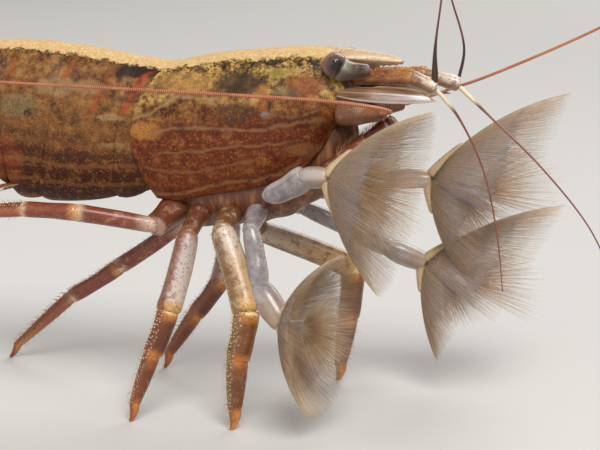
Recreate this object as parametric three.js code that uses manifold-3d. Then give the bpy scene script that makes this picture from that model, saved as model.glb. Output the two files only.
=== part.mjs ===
// Bamboo shrimp (Atyopsis moluccensis), life size, standing with its four feeding fans spread.
// Millimetres: +X towards the head, +Y to the animal's left, +Z up, the floor at Z = 0.
import * as THREE from 'three';
import { mergeVertices } from 'three/addons/utils/BufferGeometryUtils.js';
import Module from 'manifold-3d';

const wasm = await Module();
wasm.setup();

// ---- driving dimensions -------------------------------------------------------------------
const GAP = 0.4; // clearance cut between pieces that touch in life
const SHELL_DEPTH = 16.4; // back shell, from the ridge to its lower edge, at the rear
const SHELL_HALF_WIDTH = 6.6;
const MARGIN_BULGE = 4.2; // how far the shell's side lobes reach behind its top notch
const FACE_REACH = 1.7; // how far the shell's front edge bows forward below the eye
const SOCKET_DEPTH = 1.5; // how far the shell's front edge is drawn back behind the eye
const EYE_RADIUS = 1.5;
const EYE = { x: 20.9, y: 4.2, z: 42.6 };
const ABDOMEN_FLARE = 0.045; // each ring widens by this much of its size towards its rear edge
const PLEURA_LIFT = 3.2; // how far the belly arches up between the side plates
const SHEET = 0.56; // thickness of fins, scales and fan blades
const FEELER_TIP = 0.27; // least radius of a feeler
const FOOT_RADIUS = 0.42; // flat under each walking claw
const FINGER_SHARE = 0.3; // share of a fan's length that its two fingers take up
const FAN_WRAP = THREE.MathUtils.degToRad(84); // how far a blade wraps round the axis to each side
const TRIM_TOLERANCE = 0.1; // a trimmed body loses facets smaller than this

const UP = new THREE.Vector3(0, 0, 1);
const FORWARD = new THREE.Vector3(1, 0, 0);
const SIDES = { right: -1, left: 1 };

const part = new THREE.Group();
part.name = 'bamboo_shrimp';

// ---- shape helpers ------------------------------------------------------------------------
const vec = (x, y, z) => new THREE.Vector3(x, y, z);
const { lerp, smoothstep, clamp } = THREE.MathUtils;

// Directions at one ring of a body: along it, and the ring's own upward and sideways.
function frames(rings, up) {
  let lift = up.clone();
  return rings.map((ring, i) => {
    const before = rings[Math.max(i - 1, 0)].at;
    const after = rings[Math.min(i + 1, rings.length - 1)].at;
    const along = after.clone().sub(before).normalize();
    if (ring.along) along.copy(ring.along);
    lift = lift.clone().addScaledVector(along, -lift.dot(along)).normalize();
    return { lift, across: along.clone().cross(lift) };
  });
}

const roundOutline = (angle, ring) => [ring.wide * Math.sin(angle), ring.high * Math.cos(angle)];

// A closed body through a row of rings: a capped cylinder whose own rings are moved on to them.
function loft(rings, { around = 8, up = UP, outline = roundOutline, shift = null } = {}) {
  const geometry = new THREE.CylinderGeometry(1, 1, 1, around, rings.length - 1);
  const position = geometry.attributes.position;
  const frame = frames(rings, up);
  const step = (2 * Math.PI) / around;
  for (let i = 0; i < position.count; i += 1) {
    const index = Math.round((position.getY(i) + 0.5) * (rings.length - 1));
    const turn = Math.round(Math.atan2(position.getX(i), position.getZ(i)) / step);
    const onRim = Math.hypot(position.getX(i), position.getZ(i)) > 0.5 ? 1 : 0;
    const ring = rings[index];
    const [wide, high] = outline(((turn + around) % around) * step, ring);
    const point = ring.at.clone();
    point.addScaledVector(frame[index].across, wide * onRim);
    point.addScaledVector(frame[index].lift, high * onRim);
    if (shift) shift(point, ring);
    position.setXYZ(i, point.x, point.y, point.z);
  }
  return geometry;
}

// A thin plate over a surface: u runs across it from -1 to 1, v along it from 0 to 1.
function sheet(surface, { across = 4, along = 5, thick = SHEET } = {}) {
  const geometry = new THREE.BoxGeometry(2, 1, 1, across, along, 1);
  const position = geometry.attributes.position;
  const nudge = 0.01;
  for (let i = 0; i < position.count; i += 1) {
    const u = position.getX(i);
    const v = position.getY(i) + 0.5;
    const alongU = surface(u + nudge, v).sub(surface(u - nudge, v));
    const alongV = surface(u, v + nudge).sub(surface(u, v - nudge));
    const normal = alongU.cross(alongV).normalize();
    const point = surface(u, v).addScaledVector(normal, position.getZ(i) * thick);
    position.setXYZ(i, point.x, point.y, point.z);
  }
  return geometry;
}

function solid(geometry) {
  const bare = geometry.clone();
  bare.deleteAttribute('normal');
  bare.deleteAttribute('uv');
  const merged = mergeVertices(bare, 1e-4);
  const body = new wasm.Manifold(new wasm.Mesh({
    numProp: 3,
    vertProperties: new Float32Array(merged.attributes.position.array),
    triVerts: new Uint32Array(merged.index.array),
  }));
  if (body.volume() <= 0) throw new Error('a solid is inside out');
  return body;
}

function geometryOf(body) {
  const mesh = body.getMesh();
  const geometry = new THREE.BufferGeometry();
  geometry.setAttribute('position', new THREE.BufferAttribute(mesh.vertProperties, 3));
  geometry.setIndex(new THREE.BufferAttribute(mesh.triVerts, 1));
  geometry.computeVertexNormals();
  return geometry;
}

// Trims a body clear of its neighbours, by a copy of each moved GAP along every axis.
const SHIFTS = [[GAP, 0, 0], [-GAP, 0, 0], [0, GAP, 0], [0, -GAP, 0], [0, 0, GAP], [0, 0, -GAP]];
const boxOf = (body) => {
  const { min, max } = body.boundingBox();
  return new THREE.Box3(vec(...min), vec(...max));
};

function clear(body, ...neighbours) {
  const reach = boxOf(body).expandByScalar(GAP);
  let trimmed = body;
  for (const neighbour of neighbours.filter((other) => reach.intersectsBox(boxOf(other)))) {
    for (const shift of SHIFTS) {
      const moved = neighbour.translate(shift);
      trimmed = trimmed.subtract(moved);
      trimmed.numTri();
      moved.delete();
    }
  }
  const pieces = trimmed.decompose().sort((a, b) => b.volume() - a.volume());
  return pieces[0].simplify(TRIM_TOLERANCE);
}

const SKIN = {
  shell: { color: '#9a6a3a', roughness: 0.45 },
  leg: { color: '#a8623a', roughness: 0.5 },
  arm: { color: '#c9c2b8', roughness: 0.4 },
  fan: { color: '#a89884', roughness: 0.6 },
  feeler: { color: '#8a3a22', roughness: 0.5 },
  eye: { color: '#1c1418', roughness: 0.1 },
};

function add(name, body, skin) {
  const geometry = body.isBufferGeometry ? body : geometryOf(body);
  const mesh = new THREE.Mesh(geometry, new THREE.MeshStandardMaterial({ ...SKIN[skin], metalness: 0 }));
  mesh.name = name;
  part.add(mesh);
}

// ---- back shell and beak ------------------------------------------------------------------
// Each row: place along the body, ridge height, lower edge, half width.
const SHELL_ROWS = [
  [0.2, 42.5, 42.5 - SHELL_DEPTH, 5.9], [2.5, 43.05, 25.9, 6.35], [6, 43.65, 26.7, SHELL_HALF_WIDTH],
  [10, 44.05, 27.6, 6.5], [14, 44.4, 28.8, 6.1], [17.2, 44.5, 30.6, 5.5], [19.4, 44.4, 33.2, 4.7],
  [20.8, 44.3, 36, 3.5], [21.5, 44.2, 42.35, 1.5], [24, 44, 42.4, 0.85], [26.4, 43.6, 42.4, 0.55],
  [28.2, 43.05, 42.6, 0.28],
];
const WIDEST = 0.45; // share of the height, from below, at which the shell is widest

const shellRings = SHELL_ROWS.map(([x, top, low, wide]) => {
  const level = lerp(low, top, WIDEST);
  return { at: vec(x, 0, level), along: FORWARD, wide, above: top - level, below: level - low };
});

// Rounded below and on the flanks, drawn together towards the ridge.
function shellOutline(angle, ring) {
  const side = Math.sin(angle);
  const rise = Math.cos(angle);
  const waist = rise > 0 ? 1 - 0.12 * rise * rise : 1 + 0.1 * rise * rise;
  return [ring.wide * side * waist, rise * (rise > 0 ? ring.above : ring.below)];
}

// The rear edge bulges backwards on the flanks, and the front edge bows forward below the eye.
function shellEdges(point, ring) {
  const down = clamp((42.5 - point.z) / SHELL_DEPTH, 0, 1);
  const rear = 1 - smoothstep(ring.at.x, 0.2, 12);
  const front = smoothstep(ring.at.x, 14, 20.8) * (ring.at.x > 21 ? 0 : 1);
  point.x -= MARGIN_BULGE * rear * Math.sin(0.87 * Math.PI * down ** 0.8);
  point.x += FACE_REACH * front * Math.sin(Math.PI * clamp((41.4 - point.z) / 6.4, 0, 1));
  const socket = 1 - smoothstep(Math.abs(point.z - 42.5), 0.6, 1.8);
  point.x -= SOCKET_DEPTH * front * socket * smoothstep(Math.abs(point.y), 0.8, 2);
}

const eyes = {};
for (const [side, sign] of Object.entries(SIDES)) {
  const globe = new THREE.SphereGeometry(EYE_RADIUS, 10, 7).translate(EYE.x, sign * EYE.y, EYE.z);
  eyes[side] = solid(globe);
}
const wholeShell = solid(loft(shellRings, { around: 20, outline: shellOutline, shift: shellEdges }));
const shell = clear(wholeShell, eyes.right, eyes.left);
add('carapace', shell, 'shell');

// ---- underside of the chest and the mouth region -------------------------------------------
// Each row: place along the body, upper level, lower level, half width.
const CHEST_ROWS = [
  [-0.4, 29, 23.4, 2.4], [2, 30, 22.4, 3.3], [8, 31, 22.5, 3.9], [13, 32, 23.8, 3.7],
  [17, 34, 26.6, 3.1], [20, 37, 30.6, 2.7], [22.3, 38, 34.2, 1.7],
];
const chestRings = CHEST_ROWS.map(([x, top, low, wide]) => ({
  at: vec(x, 0, (top + low) / 2), along: FORWARD, wide, high: (top - low) / 2,
}));
const chest = clear(solid(loft(chestRings, { around: 12 })), shell);
add('chest_underside', chest, 'shell');

// ---- abdomen --------------------------------------------------------------------------------
// The back line over the six rings, front to rear, and the size at each joint between them.
const BACK_LINE = new THREE.CatmullRomCurve3([
  vec(1, 0, 42.3), vec(-4.4, 0, 43), vec(-13.3, 0, 44.35), vec(-21, 0, 44.8),
  vec(-27.3, 0, 44.1), vec(-32.8, 0, 42.2), vec(-40.3, 0, 38.4),
]);
const RING_DEPTH = [16, 19.2, 21.2, 20.6, 17.4, 13.2, 7.8];
const RING_HALF_WIDTH = [5.4, 5.8, 6.1, 5.9, 5.3, 4.5, 2.9];
const RING_STEPS = 4;
const JOINT_GAP = 0.024; // share of a ring left open at each of its ends

// A high arch with side plates that hang below a raised belly.
function abdomenOutline(angle, ring) {
  const side = Math.sin(angle);
  const rise = Math.cos(angle);
  const share = side * (rise > 0 ? 1 - 0.1 * rise * rise : 1);
  const arch = rise < 0 ? ring.lift * rise * rise * (1 - Math.abs(side)) : 0;
  return [ring.wide * share, ring.high * rise + arch];
}

function abdomenRing(number) {
  const rings = [];
  for (let i = 0; i <= RING_STEPS; i += 1) {
    const share = lerp(JOINT_GAP, 1 - JOINT_GAP, i / RING_STEPS);
    const at = (number - 1 + share) / 6;
    const along = BACK_LINE.getTangent(at);
    const flare = 1 + ABDOMEN_FLARE * (share - 0.5);
    const depth = lerp(RING_DEPTH[number - 1], RING_DEPTH[number], share) * flare;
    const lobe = number < 6 ? 0.9 * Math.sin(Math.PI * share) : 0;
    const down = along.clone().cross(vec(0, 1, 0)).normalize();
    if (down.z > 0) down.negate();
    rings.push({
      at: BACK_LINE.getPoint(at).addScaledVector(down, (depth + lobe) / 2),
      along,
      wide: lerp(RING_HALF_WIDTH[number - 1], RING_HALF_WIDTH[number], share) * flare,
      high: (depth + lobe) / 2,
      lift: PLEURA_LIFT * (number < 6 ? 1 : 0.2),
    });
  }
  return solid(loft(rings, { around: 16, outline: abdomenOutline }));
}

const abdomen = [1, 2, 3, 4, 5, 6].map(abdomenRing);
abdomen[0] = clear(abdomen[0], wholeShell, chest);
abdomen[1] = clear(abdomen[1], wholeShell);
abdomen.forEach((ring, i) => add(`abdomen_${i + 1}`, ring, 'shell'));

// ---- tail fan -------------------------------------------------------------------------------
const TAIL_ROOT = vec(-40.6, 0, 35.6);
const TAIL_DROP = 0.52; // fall of the tail fan for each millimetre backwards

// A tail blade: a narrow root, a wide rounded end, spread sideways by its angle.
function tailBlade({ length, halfWidth, root, spread, lift }) {
  return sheet((u, v) => {
    const wide = halfWidth * Math.sqrt(clamp(Math.sin(Math.PI * (0.1 + 0.82 * v)), 0, 1)) * u;
    const out = length * v * (1 - 0.12 * u * u);
    const back = out * Math.cos(spread) - wide * Math.sin(spread);
    const aside = out * Math.sin(spread) + wide * Math.cos(spread);
    return vec(TAIL_ROOT.x - back, root * Math.sign(spread) + aside, TAIL_ROOT.z + lift - TAIL_DROP * back);
  });
}
const telsonRings = [0, 0.35, 0.75, 1].map((share) => ({
  at: vec(TAIL_ROOT.x - 10.2 * share, 0, TAIL_ROOT.z + 1.6 - 0.48 * 10.2 * share),
  wide: lerp(2.1, 0.8, share),
  high: lerp(0.85, 0.35, share),
}));
add('telson', loft(telsonRings, { around: 10 }), 'shell');
for (const [side, sign] of Object.entries(SIDES)) {
  const inner = { length: 10.6, halfWidth: 1.75, root: 1.5, spread: 0.3 * sign, lift: -0.3 };
  const outer = { length: 11.4, halfWidth: 2.1, root: 1.7, spread: 0.66 * sign, lift: -1.6 };
  const innerBlade = solid(tailBlade(inner));
  add(`tail_inner_${side}`, innerBlade, 'shell');
  add(`tail_outer_${side}`, clear(solid(tailBlade(outer)), innerBlade), 'shell');
}

// ---- swimming legs, trailing under the belly ----------------------------------------------------
const SWIMMER_LENGTH = 5.6;
for (let number = 1; number <= 5; number += 1) {
  const at = (number - 0.7) / 6;
  const back = BACK_LINE.getPoint(at);
  const depth = lerp(RING_DEPTH[number - 1], RING_DEPTH[number], 0.3);
  const along = BACK_LINE.getTangent(at);
  const down = vec(along.z, 0, -along.x);
  if (down.z > 0) down.negate();
  const root = back.clone().addScaledVector(down, depth - 2.2);
  const halfWidth = lerp(RING_HALF_WIDTH[number - 1], RING_HALF_WIDTH[number], 0.5) * 0.55;
  const pair = sheet((u, v) => {
    const point = root.clone().addScaledVector(along, SWIMMER_LENGTH * v * (1 - 0.12 * u * u));
    point.addScaledVector(down, 2.2 * v);
    return point.add(vec(0, -halfWidth * u * (1 - 0.25 * v), 0));
  }, { across: 4, along: 3, thick: 0.7 });
  const rings = abdomen.slice(number - 1, number + 1);
  add(`swimmerets_${number}`, clear(solid(pair), ...rings, chest, shell), 'leg');
}

// ---- limbs ----------------------------------------------------------------------------------
// Rings down one limb length: narrow at its joints and fuller between them.
function lengthRings(from, to, girth, { start = 0.78, end = 0.9, first = 0.04, last = 0.96 } = {}) {
  const rows = [[first, start], [0.28, 1], [0.8, 1.04], [last, end]];
  return rows.map(([share, scale]) => ({
    at: from.clone().lerp(to, share), wide: girth * scale, high: girth * scale * 1.12,
  }));
}

// Joints of the walking legs: hip, bend below the chest, knee, wrist, ankle and foot.
// girths: hip, long upper length, wrist length, shin.
const WALKERS = {
  leg3_right: {
    joints: [[7.6, -2.6, 24.4], [7.9, -7.2, 22.9], [11.9, -10.5, 14.1], [10.9, -11, 8.5],
      [10.7, -11.7, 2.2], [10.4, -12, 0]],
    girths: [1, 1.45, 1.3, 1.05],
  },
  leg4_right: {
    joints: [[3.8, -2.6, 24.6], [3.5, -6.9, 22.2], [2.1, -10.3, 13.6], [0.2, -10.7, 8.4],
      [-1.9, -11.7, 2.1], [-2.3, -12, 0]],
    girths: [0.9, 1.3, 1.1, 0.85],
  },
  leg5_right: {
    joints: [[0.6, -2.2, 24.8], [-0.8, -6.4, 23], [-9.9, -8.8, 24.6], [-16.7, -9.2, 24.8],
      [-25.6, -9.7, 24], [-27.2, -9.8, 23.2]],
    girths: [1.3, 1, 0.95, 0.75],
  },
  leg3_left: {
    joints: [[7.8, 2.6, 24.2], [9, 5.8, 20.6], [20.2, 8.8, 16], [19.2, 10.6, 9.2],
      [17.9, 11.7, 2.2], [17.5, 12, 0]],
    girths: [1, 1.4, 1.3, 1.05],
  },
  leg4_left: {
    joints: [[4.2, 2.6, 24.4], [4.6, 6.6, 21.6], [2.4, 9.6, 13.4], [-1.6, 10.7, 8.2],
      [-5.9, 11.7, 2.1], [-6.6, 12, 0]],
    girths: [0.9, 1.25, 1.05, 0.85],
  },
  leg5_left: {
    joints: [[0.6, 2.2, 24.6], [-1, 6.2, 21.8], [-11.6, 8.9, 14.4], [-18.8, 9.6, 9.8],
      [-28, 11.4, 1.9], [-29.2, 11.6, 0]],
    girths: [0.9, 0.95, 0.92, 0.72],
  },
};

const legBodies = [];

function walker(name, { joints, girths }) {
  const [hip, bend, knee, wrist, ankle, foot] = joints.map((joint) => vec(...joint));
  const upperRings = [
    ...lengthRings(hip, bend, girths[0]),
    ...lengthRings(bend, knee, girths[1], { first: 0.1, last: 1 }),
  ];
  const claw = { at: foot.clone(), wide: FOOT_RADIUS, high: FOOT_RADIUS };
  if (foot.z === 0) claw.along = vec(0, 0, -1);
  const lowerRings = [
    ...lengthRings(knee, wrist, girths[2], { first: 0.02 }),
    ...lengthRings(wrist, ankle, girths[3], { first: 0.08, end: 0.9 }),
    { at: ankle.clone().lerp(foot, 0.35), wide: girths[3] * 0.7, high: girths[3] * 0.7 },
    claw,
  ];
  const body = name.startsWith('leg5') ? [chest, abdomen[0], abdomen[1], shell] : [chest, shell];
  const lower = solid(loft(lowerRings, { up: FORWARD }));
  const upper = clear(solid(loft(upperRings, { up: FORWARD })), ...body);
  add(`${name}_upper`, upper, 'leg');
  add(`${name}_lower`, clear(lower, upper), 'leg');
  legBodies.push(upper);
}

Object.entries(WALKERS).forEach(([name, plan]) => walker(name, plan));

// ---- arms and feeding fans ------------------------------------------------------------------
// axis: the way the open fan faces. near and rim: how steeply a blade leaves the axis at its root
// and at its rim, in degrees.
const FANS = {
  arm1_right: {
    joints: [[13.2, -2.6, 27], [14.2, -8, 27.6], [18.4, -9.1, 30], [21.2, -9.6, 30.2]],
    girths: [1, 1.25, 1.2], axis: [0.94, -0.16, -0.25], near: 66, rim: 28,
    upper: 15.5, lower: 15.5, squeeze: 0.62,
  },
  arm2_right: {
    joints: [[11, -2.6, 24.8], [11.5, -7.4, 23.2], [12.9, -9.2, 17], [16.2, -10.8, 13.2]],
    girths: [0.95, 1.05, 1.35], axis: [0.92, -0.34, -0.14], near: 76, rim: 34,
    upper: 12.4, lower: 12.4, squeeze: 0.7,
  },
  arm1_left: {
    joints: [[13.4, 2.6, 27], [15.6, 6.6, 26], [25.2, 8, 27.6], [29.8, 8.4, 27.8]],
    girths: [1, 1.15, 1.1], axis: [0.92, 0.12, -0.3], near: 70, rim: 30,
    upper: 21, lower: 15, squeeze: 0.6,
  },
  arm2_left: {
    joints: [[11.6, 2.6, 25], [14, 6.6, 23.8], [24.4, 9.6, 18.6], [28.8, 10.6, 16.8]],
    girths: [0.95, 1.05, 1.25], axis: [0.86, 0.12, -0.48], near: 68, rim: 36,
    upper: 19.6, lower: 13.4, squeeze: 0.6,
  },
};

// Half of an open fan, above (way 1) or below (way -1) its axis.
function fanSurface(plan, way) {
  const axis = vec(...plan.axis).normalize();
  const rise = UP.clone().addScaledVector(axis, -UP.dot(axis)).normalize();
  const side = axis.clone().cross(rise);
  const hub = vec(...plan.joints[3]);
  const length = way > 0 ? plan.upper : plan.lower;
  const steep = THREE.MathUtils.degToRad(plan.near);
  const shallow = THREE.MathUtils.degToRad(plan.rim);
  const bend = (shallow - steep) || 1e-6;
  return (u, v) => {
    const angle = lerp(steep, shallow, v);
    const ahead = (length * (Math.sin(angle) - Math.sin(steep))) / bend;
    const away = (length * (Math.cos(steep) - Math.cos(angle))) / bend;
    const turn = FAN_WRAP * u;
    return hub.clone()
      .addScaledVector(axis, ahead)
      .addScaledVector(rise, way * away * Math.cos(turn))
      .addScaledVector(side, away * Math.sin(turn) * plan.squeeze * way);
  };
}

const fanBodies = [];

function fanArm(name, plan) {
  const [root, elbow, wrist, hub] = plan.joints.map((joint) => vec(...joint));
  const armRings = [
    ...lengthRings(root, elbow, plan.girths[0]),
    ...lengthRings(elbow, wrist, plan.girths[1], { first: 0.1 }),
    ...lengthRings(wrist, hub, plan.girths[2], { first: 0.12, end: 0.75 }),
  ];
  const blades = [];
  let arm = solid(loft(armRings, { up: FORWARD }));
  for (const [half, way] of [['upper', 1], ['lower', -1]]) {
    const surface = fanSurface(plan, way);
    const finger = [0, 0.3, 0.65, 1].map((share) => ({
      at: share ? surface(0, FINGER_SHARE * share) : wrist.clone().lerp(hub, 0.7),
      wide: lerp(0.95, 0.34, share), high: lerp(0.8, 0.3, share),
    }));
    arm = arm.add(solid(loft(finger, { around: 6, up: FORWARD })));
    const blade = (u, v) => surface(u, lerp(FINGER_SHARE + 0.03, 1, v));
    blades.push(clear(solid(sheet(blade, { across: 6, along: 4 })), ...fanBodies));
    add(`${name}_fan_${half}`, blades.at(-1), 'fan');
  }
  arm = clear(arm, chest, shell, ...legBodies, ...fanBodies);
  add(name, arm, 'arm');
  fanBodies.push(arm, ...blades);
}

Object.entries(FANS).forEach(([name, plan]) => fanArm(name, plan));

// ---- mouth feet, held forward under the head --------------------------------------------------
for (const [side, sign] of Object.entries(SIDES)) {
  const rows = [
    [18.6, 3, 29.4, 0.9], [21.6, 3.2, 31.4, 0.95],
    [24.4, 2.8, 33.6, 0.8], [26.6, 2.2, 35.4, 0.45],
  ];
  const rings = rows.map(([x, y, z, girth]) => ({ at: vec(x, sign * y, z), wide: girth, high: girth }));
  add(`mouth_foot_${side}`, clear(solid(loft(rings)), chest, shell), 'leg');
}

// ---- eyes and their stalks ------------------------------------------------------------------
for (const [side, sign] of Object.entries(SIDES)) {
  add(`eye_${side}`, eyes[side], 'eye');
  const stalk = loft([
    { at: vec(24.6, sign * 2.6, 42.2), wide: 0.45, high: 0.45 },
    { at: vec(23.4, sign * 3, 42.1), wide: 0.8, high: 0.8 },
    { at: vec(22, sign * 3.5, 42.3), wide: 1.2, high: 1.2 },
  ], { around: 6 });
  add(`eyestalk_${side}`, clear(solid(stalk), eyes[side], shell), 'arm');
}

// ---- feelers ----------------------------------------------------------------------------------
function feelerRings(points, thick, steps, from = 0, to = 1) {
  const curve = new THREE.CatmullRomCurve3(points.map((point) => vec(...point)), false, 'centripetal');
  const rings = [];
  for (let i = 0; i <= steps; i += 1) {
    const share = lerp(from, to, i / steps);
    const girth = Math.max(thick * (1 - share) ** 0.7, FEELER_TIP);
    rings.push({ at: curve.getPointAt(share), wide: girth, high: girth });
  }
  return rings;
}

// Short feelers: a jointed base under the beak, and two whips from its end.
const SHORT_FEELERS = {
  right: {
    base: [
      [22.6, -1.25, 41, 0.8], [26.4, -1.5, 41.1, 0.85],
      [29.6, -1.7, 41.15, 0.8], [32.2, -1.8, 40.1, 0.7],
    ],
    upper: [[32.3, -2, 41.2], [32.3, -2.1, 44.6], [33, -2.1, 50.8], [33.8, -2.6, 58], [33.4, -3.2, 66]],
    lower: [[32.9, -1.5, 39], [34.9, -1.4, 36.8], [38, -1.3, 30.6], [39.8, -1.1, 22.8], [40.6, -1, 16]],
  },
  left: {
    base: [
      [22.6, 1.25, 41, 0.8], [26.4, 1.5, 41.1, 0.85],
      [30.6, 1.7, 41.2, 0.8], [34.4, 1.8, 40.2, 0.7],
    ],
    upper: [[34.4, 2, 41.3], [35, 2, 44.4], [33.2, 2.1, 50.8], [31.4, 2.7, 58], [28.6, 3.4, 65]],
    lower: [[35.2, 1.5, 39.2], [38.2, 1.4, 36.6], [44.6, 1.2, 30.6], [50.4, 1.1, 23.6], [53.6, 1, 17]],
  },
};
for (const [side, plan] of Object.entries(SHORT_FEELERS)) {
  const rings = plan.base.map(([x, y, z, girth]) => ({ at: vec(x, y, z), wide: girth * 0.9, high: girth }));
  const base = clear(solid(loft(rings, { around: 10 })), shell, chest);
  add(`short_feeler_base_${side}`, base, 'arm');
  for (const half of ['upper', 'lower']) {
    const whip = solid(loft(feelerRings(plan[half], 0.46, 10), { around: 5, up: FORWARD }));
    add(`short_feeler_${half}_${side}`, clear(whip, base), 'feeler');
  }
}

// Long feelers: a stout base with its scale, and a whip about as long as the body.
const LONG_FEELERS = {
  right: [[26.7, -6.1, 37.3], [28.1, -6.9, 37.6], [27, -8, 38.1], [22, -8.2, 38.7], [10, -8.2, 39.2],
    [-7, -8.2, 39.7], [-20, -8.2, 40.1], [-34, -9, 41], [-45, -9.6, 41.4]],
  left: [[27.3, 5.9, 37.2], [29.4, 7, 37.9], [32.6, 7, 39.1], [37.4, 6.2, 40.9], [51.5, 6.6, 47.4],
    [66, 8, 56], [79, 9, 66], [88, 9.4, 76]],
};
const LONG_FEELER_SPLIT = 0.45;
const scaleSurface = (sign) => (u, v) => {
  const wide = 1.75 * Math.sqrt(clamp(Math.sin(Math.PI * (0.2 + 0.72 * v)), 0, 1)) * u;
  return vec(22.6 + 10.6 * v, sign * 4.3 + wide, 39.4 - 0.35 * v + 0.42 * wide * -sign);
};
for (const [side, sign] of Object.entries(SIDES)) {
  const scale = solid(sheet(scaleSurface(sign), { across: 4, along: 6 }));
  const rows = [[21.8, 3.4, 37.5, 1.2, 2], [23.8, 4.1, 37.6, 1.2, 2.1], [25.6, 4.8, 37.2, 1.05, 1],
    [27, 5.3, 37.2, 0.6, 0.55]];
  const rings = rows.map(([x, y, z, wide, high]) => ({ at: vec(x, sign * y, z), wide, high }));
  const base = clear(solid(loft(rings, { around: 10 })).add(scale), shell, chest);
  add(`long_feeler_base_${side}`, base, 'arm');
  const points = LONG_FEELERS[side];
  const rootRings = feelerRings(points, 0.5, 14, 0, LONG_FEELER_SPLIT);
  const tipRings = feelerRings(points, 0.5, 8, LONG_FEELER_SPLIT + 0.004, 1);
  const root = solid(loft(rootRings, { around: 6, up: FORWARD }));
  add(`long_feeler_root_${side}`, clear(root, base), 'feeler');
  add(`long_feeler_tip_${side}`, loft(tipRings, { around: 6, up: FORWARD }), 'feeler');
}

// ---- stand it on the middle of its own footprint ---------------------------------------------------
const extent = new THREE.Box3().setFromObject(part);
const middle = extent.getCenter(vec(0, 0, 0));
part.position.set(-middle.x, -middle.y, -extent.min.z);

export default part;
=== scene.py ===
# %% [markdown]
# A bamboo shrimp, life size and standing still, its four feeding fans spread as in a current.
# The solids from the CAD model give every part its place. Here each one gets its finished surface:
# jointed shell plates, legs with tubercles, ringed feelers and thousands of fan bristles.
# Every length is in millimetres of the shrimp's own axes: x from the notch behind the back shell
# towards the head, y to the animal's left and z up from the floor.

import math
import bpy
import numpy as np
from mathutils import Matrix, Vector


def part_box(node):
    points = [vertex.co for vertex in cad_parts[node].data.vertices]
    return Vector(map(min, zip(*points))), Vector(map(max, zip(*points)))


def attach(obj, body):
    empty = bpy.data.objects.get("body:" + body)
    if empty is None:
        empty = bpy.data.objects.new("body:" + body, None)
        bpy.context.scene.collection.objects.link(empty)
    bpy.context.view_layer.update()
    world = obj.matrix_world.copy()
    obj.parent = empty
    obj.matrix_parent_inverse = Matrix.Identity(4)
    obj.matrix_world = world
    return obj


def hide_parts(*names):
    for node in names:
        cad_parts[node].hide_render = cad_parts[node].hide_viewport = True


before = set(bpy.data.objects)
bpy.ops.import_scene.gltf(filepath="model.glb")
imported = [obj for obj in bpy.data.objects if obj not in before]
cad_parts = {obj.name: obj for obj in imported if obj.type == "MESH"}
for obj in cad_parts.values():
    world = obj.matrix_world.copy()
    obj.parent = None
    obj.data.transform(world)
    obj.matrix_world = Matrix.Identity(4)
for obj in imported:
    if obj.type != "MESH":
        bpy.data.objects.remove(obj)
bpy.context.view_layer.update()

MM = 0.001
EYE = np.array([20.9, 4.2, 42.6])  # centre of the left eye
EYE_RADIUS = 1.5
eye_low, eye_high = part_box("eye_left")
OFFSET = np.array((eye_low + eye_high) / 2) / MM - EYE
SIDES = {"right": -1, "left": 1}
dice = np.random.default_rng(7)
print("the shrimp's axes start at", OFFSET.round(2), "mm in the frame")

# %% [markdown]
# Most of an animal's shapes are smooth sleeves and leaves, with no flat face to extrude. They are
# made here from one primitive, a flat grid, whose vertices are laid on to a curved surface: across
# the grid is around the limb and up the grid is along it. A weld closes the seam and the two ends.
# The grid also remembers where each vertex lies, so that a finish can follow the surface.

# %% Lay a grid on a surface
WELD = 0.004  # in mm


def only(*objs):
    """Select these objects alone; the first is the active one."""
    bpy.ops.object.select_all(action="DESELECT")
    for obj in objs:
        obj.select_set(True)
    bpy.context.view_layer.objects.active = objs[0]


def set_lie(piece, lie):
    """Keep three measures at each vertex for the finishes to read."""
    attribute = piece.data.attributes.new("lie", "FLOAT_VECTOR", "POINT")
    attribute.data.foreach_set("vector", np.ascontiguousarray(lie, np.float32).ravel())


def spread_lie(piece, start, finish):
    """Make the first measure run from start to finish over the whole piece."""
    values = np.empty(len(piece.data.vertices) * 3, np.float32)
    attribute = piece.data.attributes["lie"].data
    attribute.foreach_get("vector", values)
    values[0::3] = start + (finish - start) * values[0::3] / values[0::3].max()
    attribute.foreach_set("vector", values)


def lay_grid(name, across, along, place):
    """A grid laid where place(u, v) says, in mm, never below the floor; place also gives the lie."""
    bpy.ops.object.select_all(action="DESELECT")
    bpy.ops.mesh.primitive_grid_add(x_subdivisions=across, y_subdivisions=along, size=1)
    piece = bpy.context.object
    piece.name = piece.data.name = name
    flat = np.empty(len(piece.data.vertices) * 3)
    piece.data.vertices.foreach_get("co", flat)
    u, v = flat.reshape(-1, 3)[:, 0] + 0.5, flat.reshape(-1, 3)[:, 1] + 0.5
    points, lie = place(u, v)
    points[:, 2] = np.maximum(points[:, 2], 0)
    piece.data.vertices.foreach_set("co", ((points + OFFSET) * MM).ravel())
    set_lie(piece, lie)
    bpy.ops.object.mode_set(mode="EDIT")
    bpy.ops.mesh.select_all(action="SELECT")
    bpy.ops.mesh.remove_doubles(threshold=WELD * MM)
    bpy.ops.mesh.normals_make_consistent(inside=False)
    bpy.ops.object.mode_set(mode="OBJECT")
    bpy.ops.object.shade_smooth()
    return piece


print("grids are welded within", WELD, "mm")

# %% Join pieces, and give a sheet a wall
def join(name, pieces):
    """Join pieces into one object and name it."""
    only(*pieces)
    if len(pieces) > 1:
        bpy.ops.object.join()
    pieces[0].name = pieces[0].data.name = name
    return pieces[0]


def wall(piece, thick):
    """Give an open surface a wall, grown inwards, in millimetres."""
    only(piece)
    modifier = piece.modifiers.new("wall", "SOLIDIFY")
    modifier.thickness, modifier.offset, modifier.use_even_offset = thick * MM, -1, True
    bpy.ops.object.modifier_apply(modifier="wall")
    return piece


print("sides of the animal:", SIDES)

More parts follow.
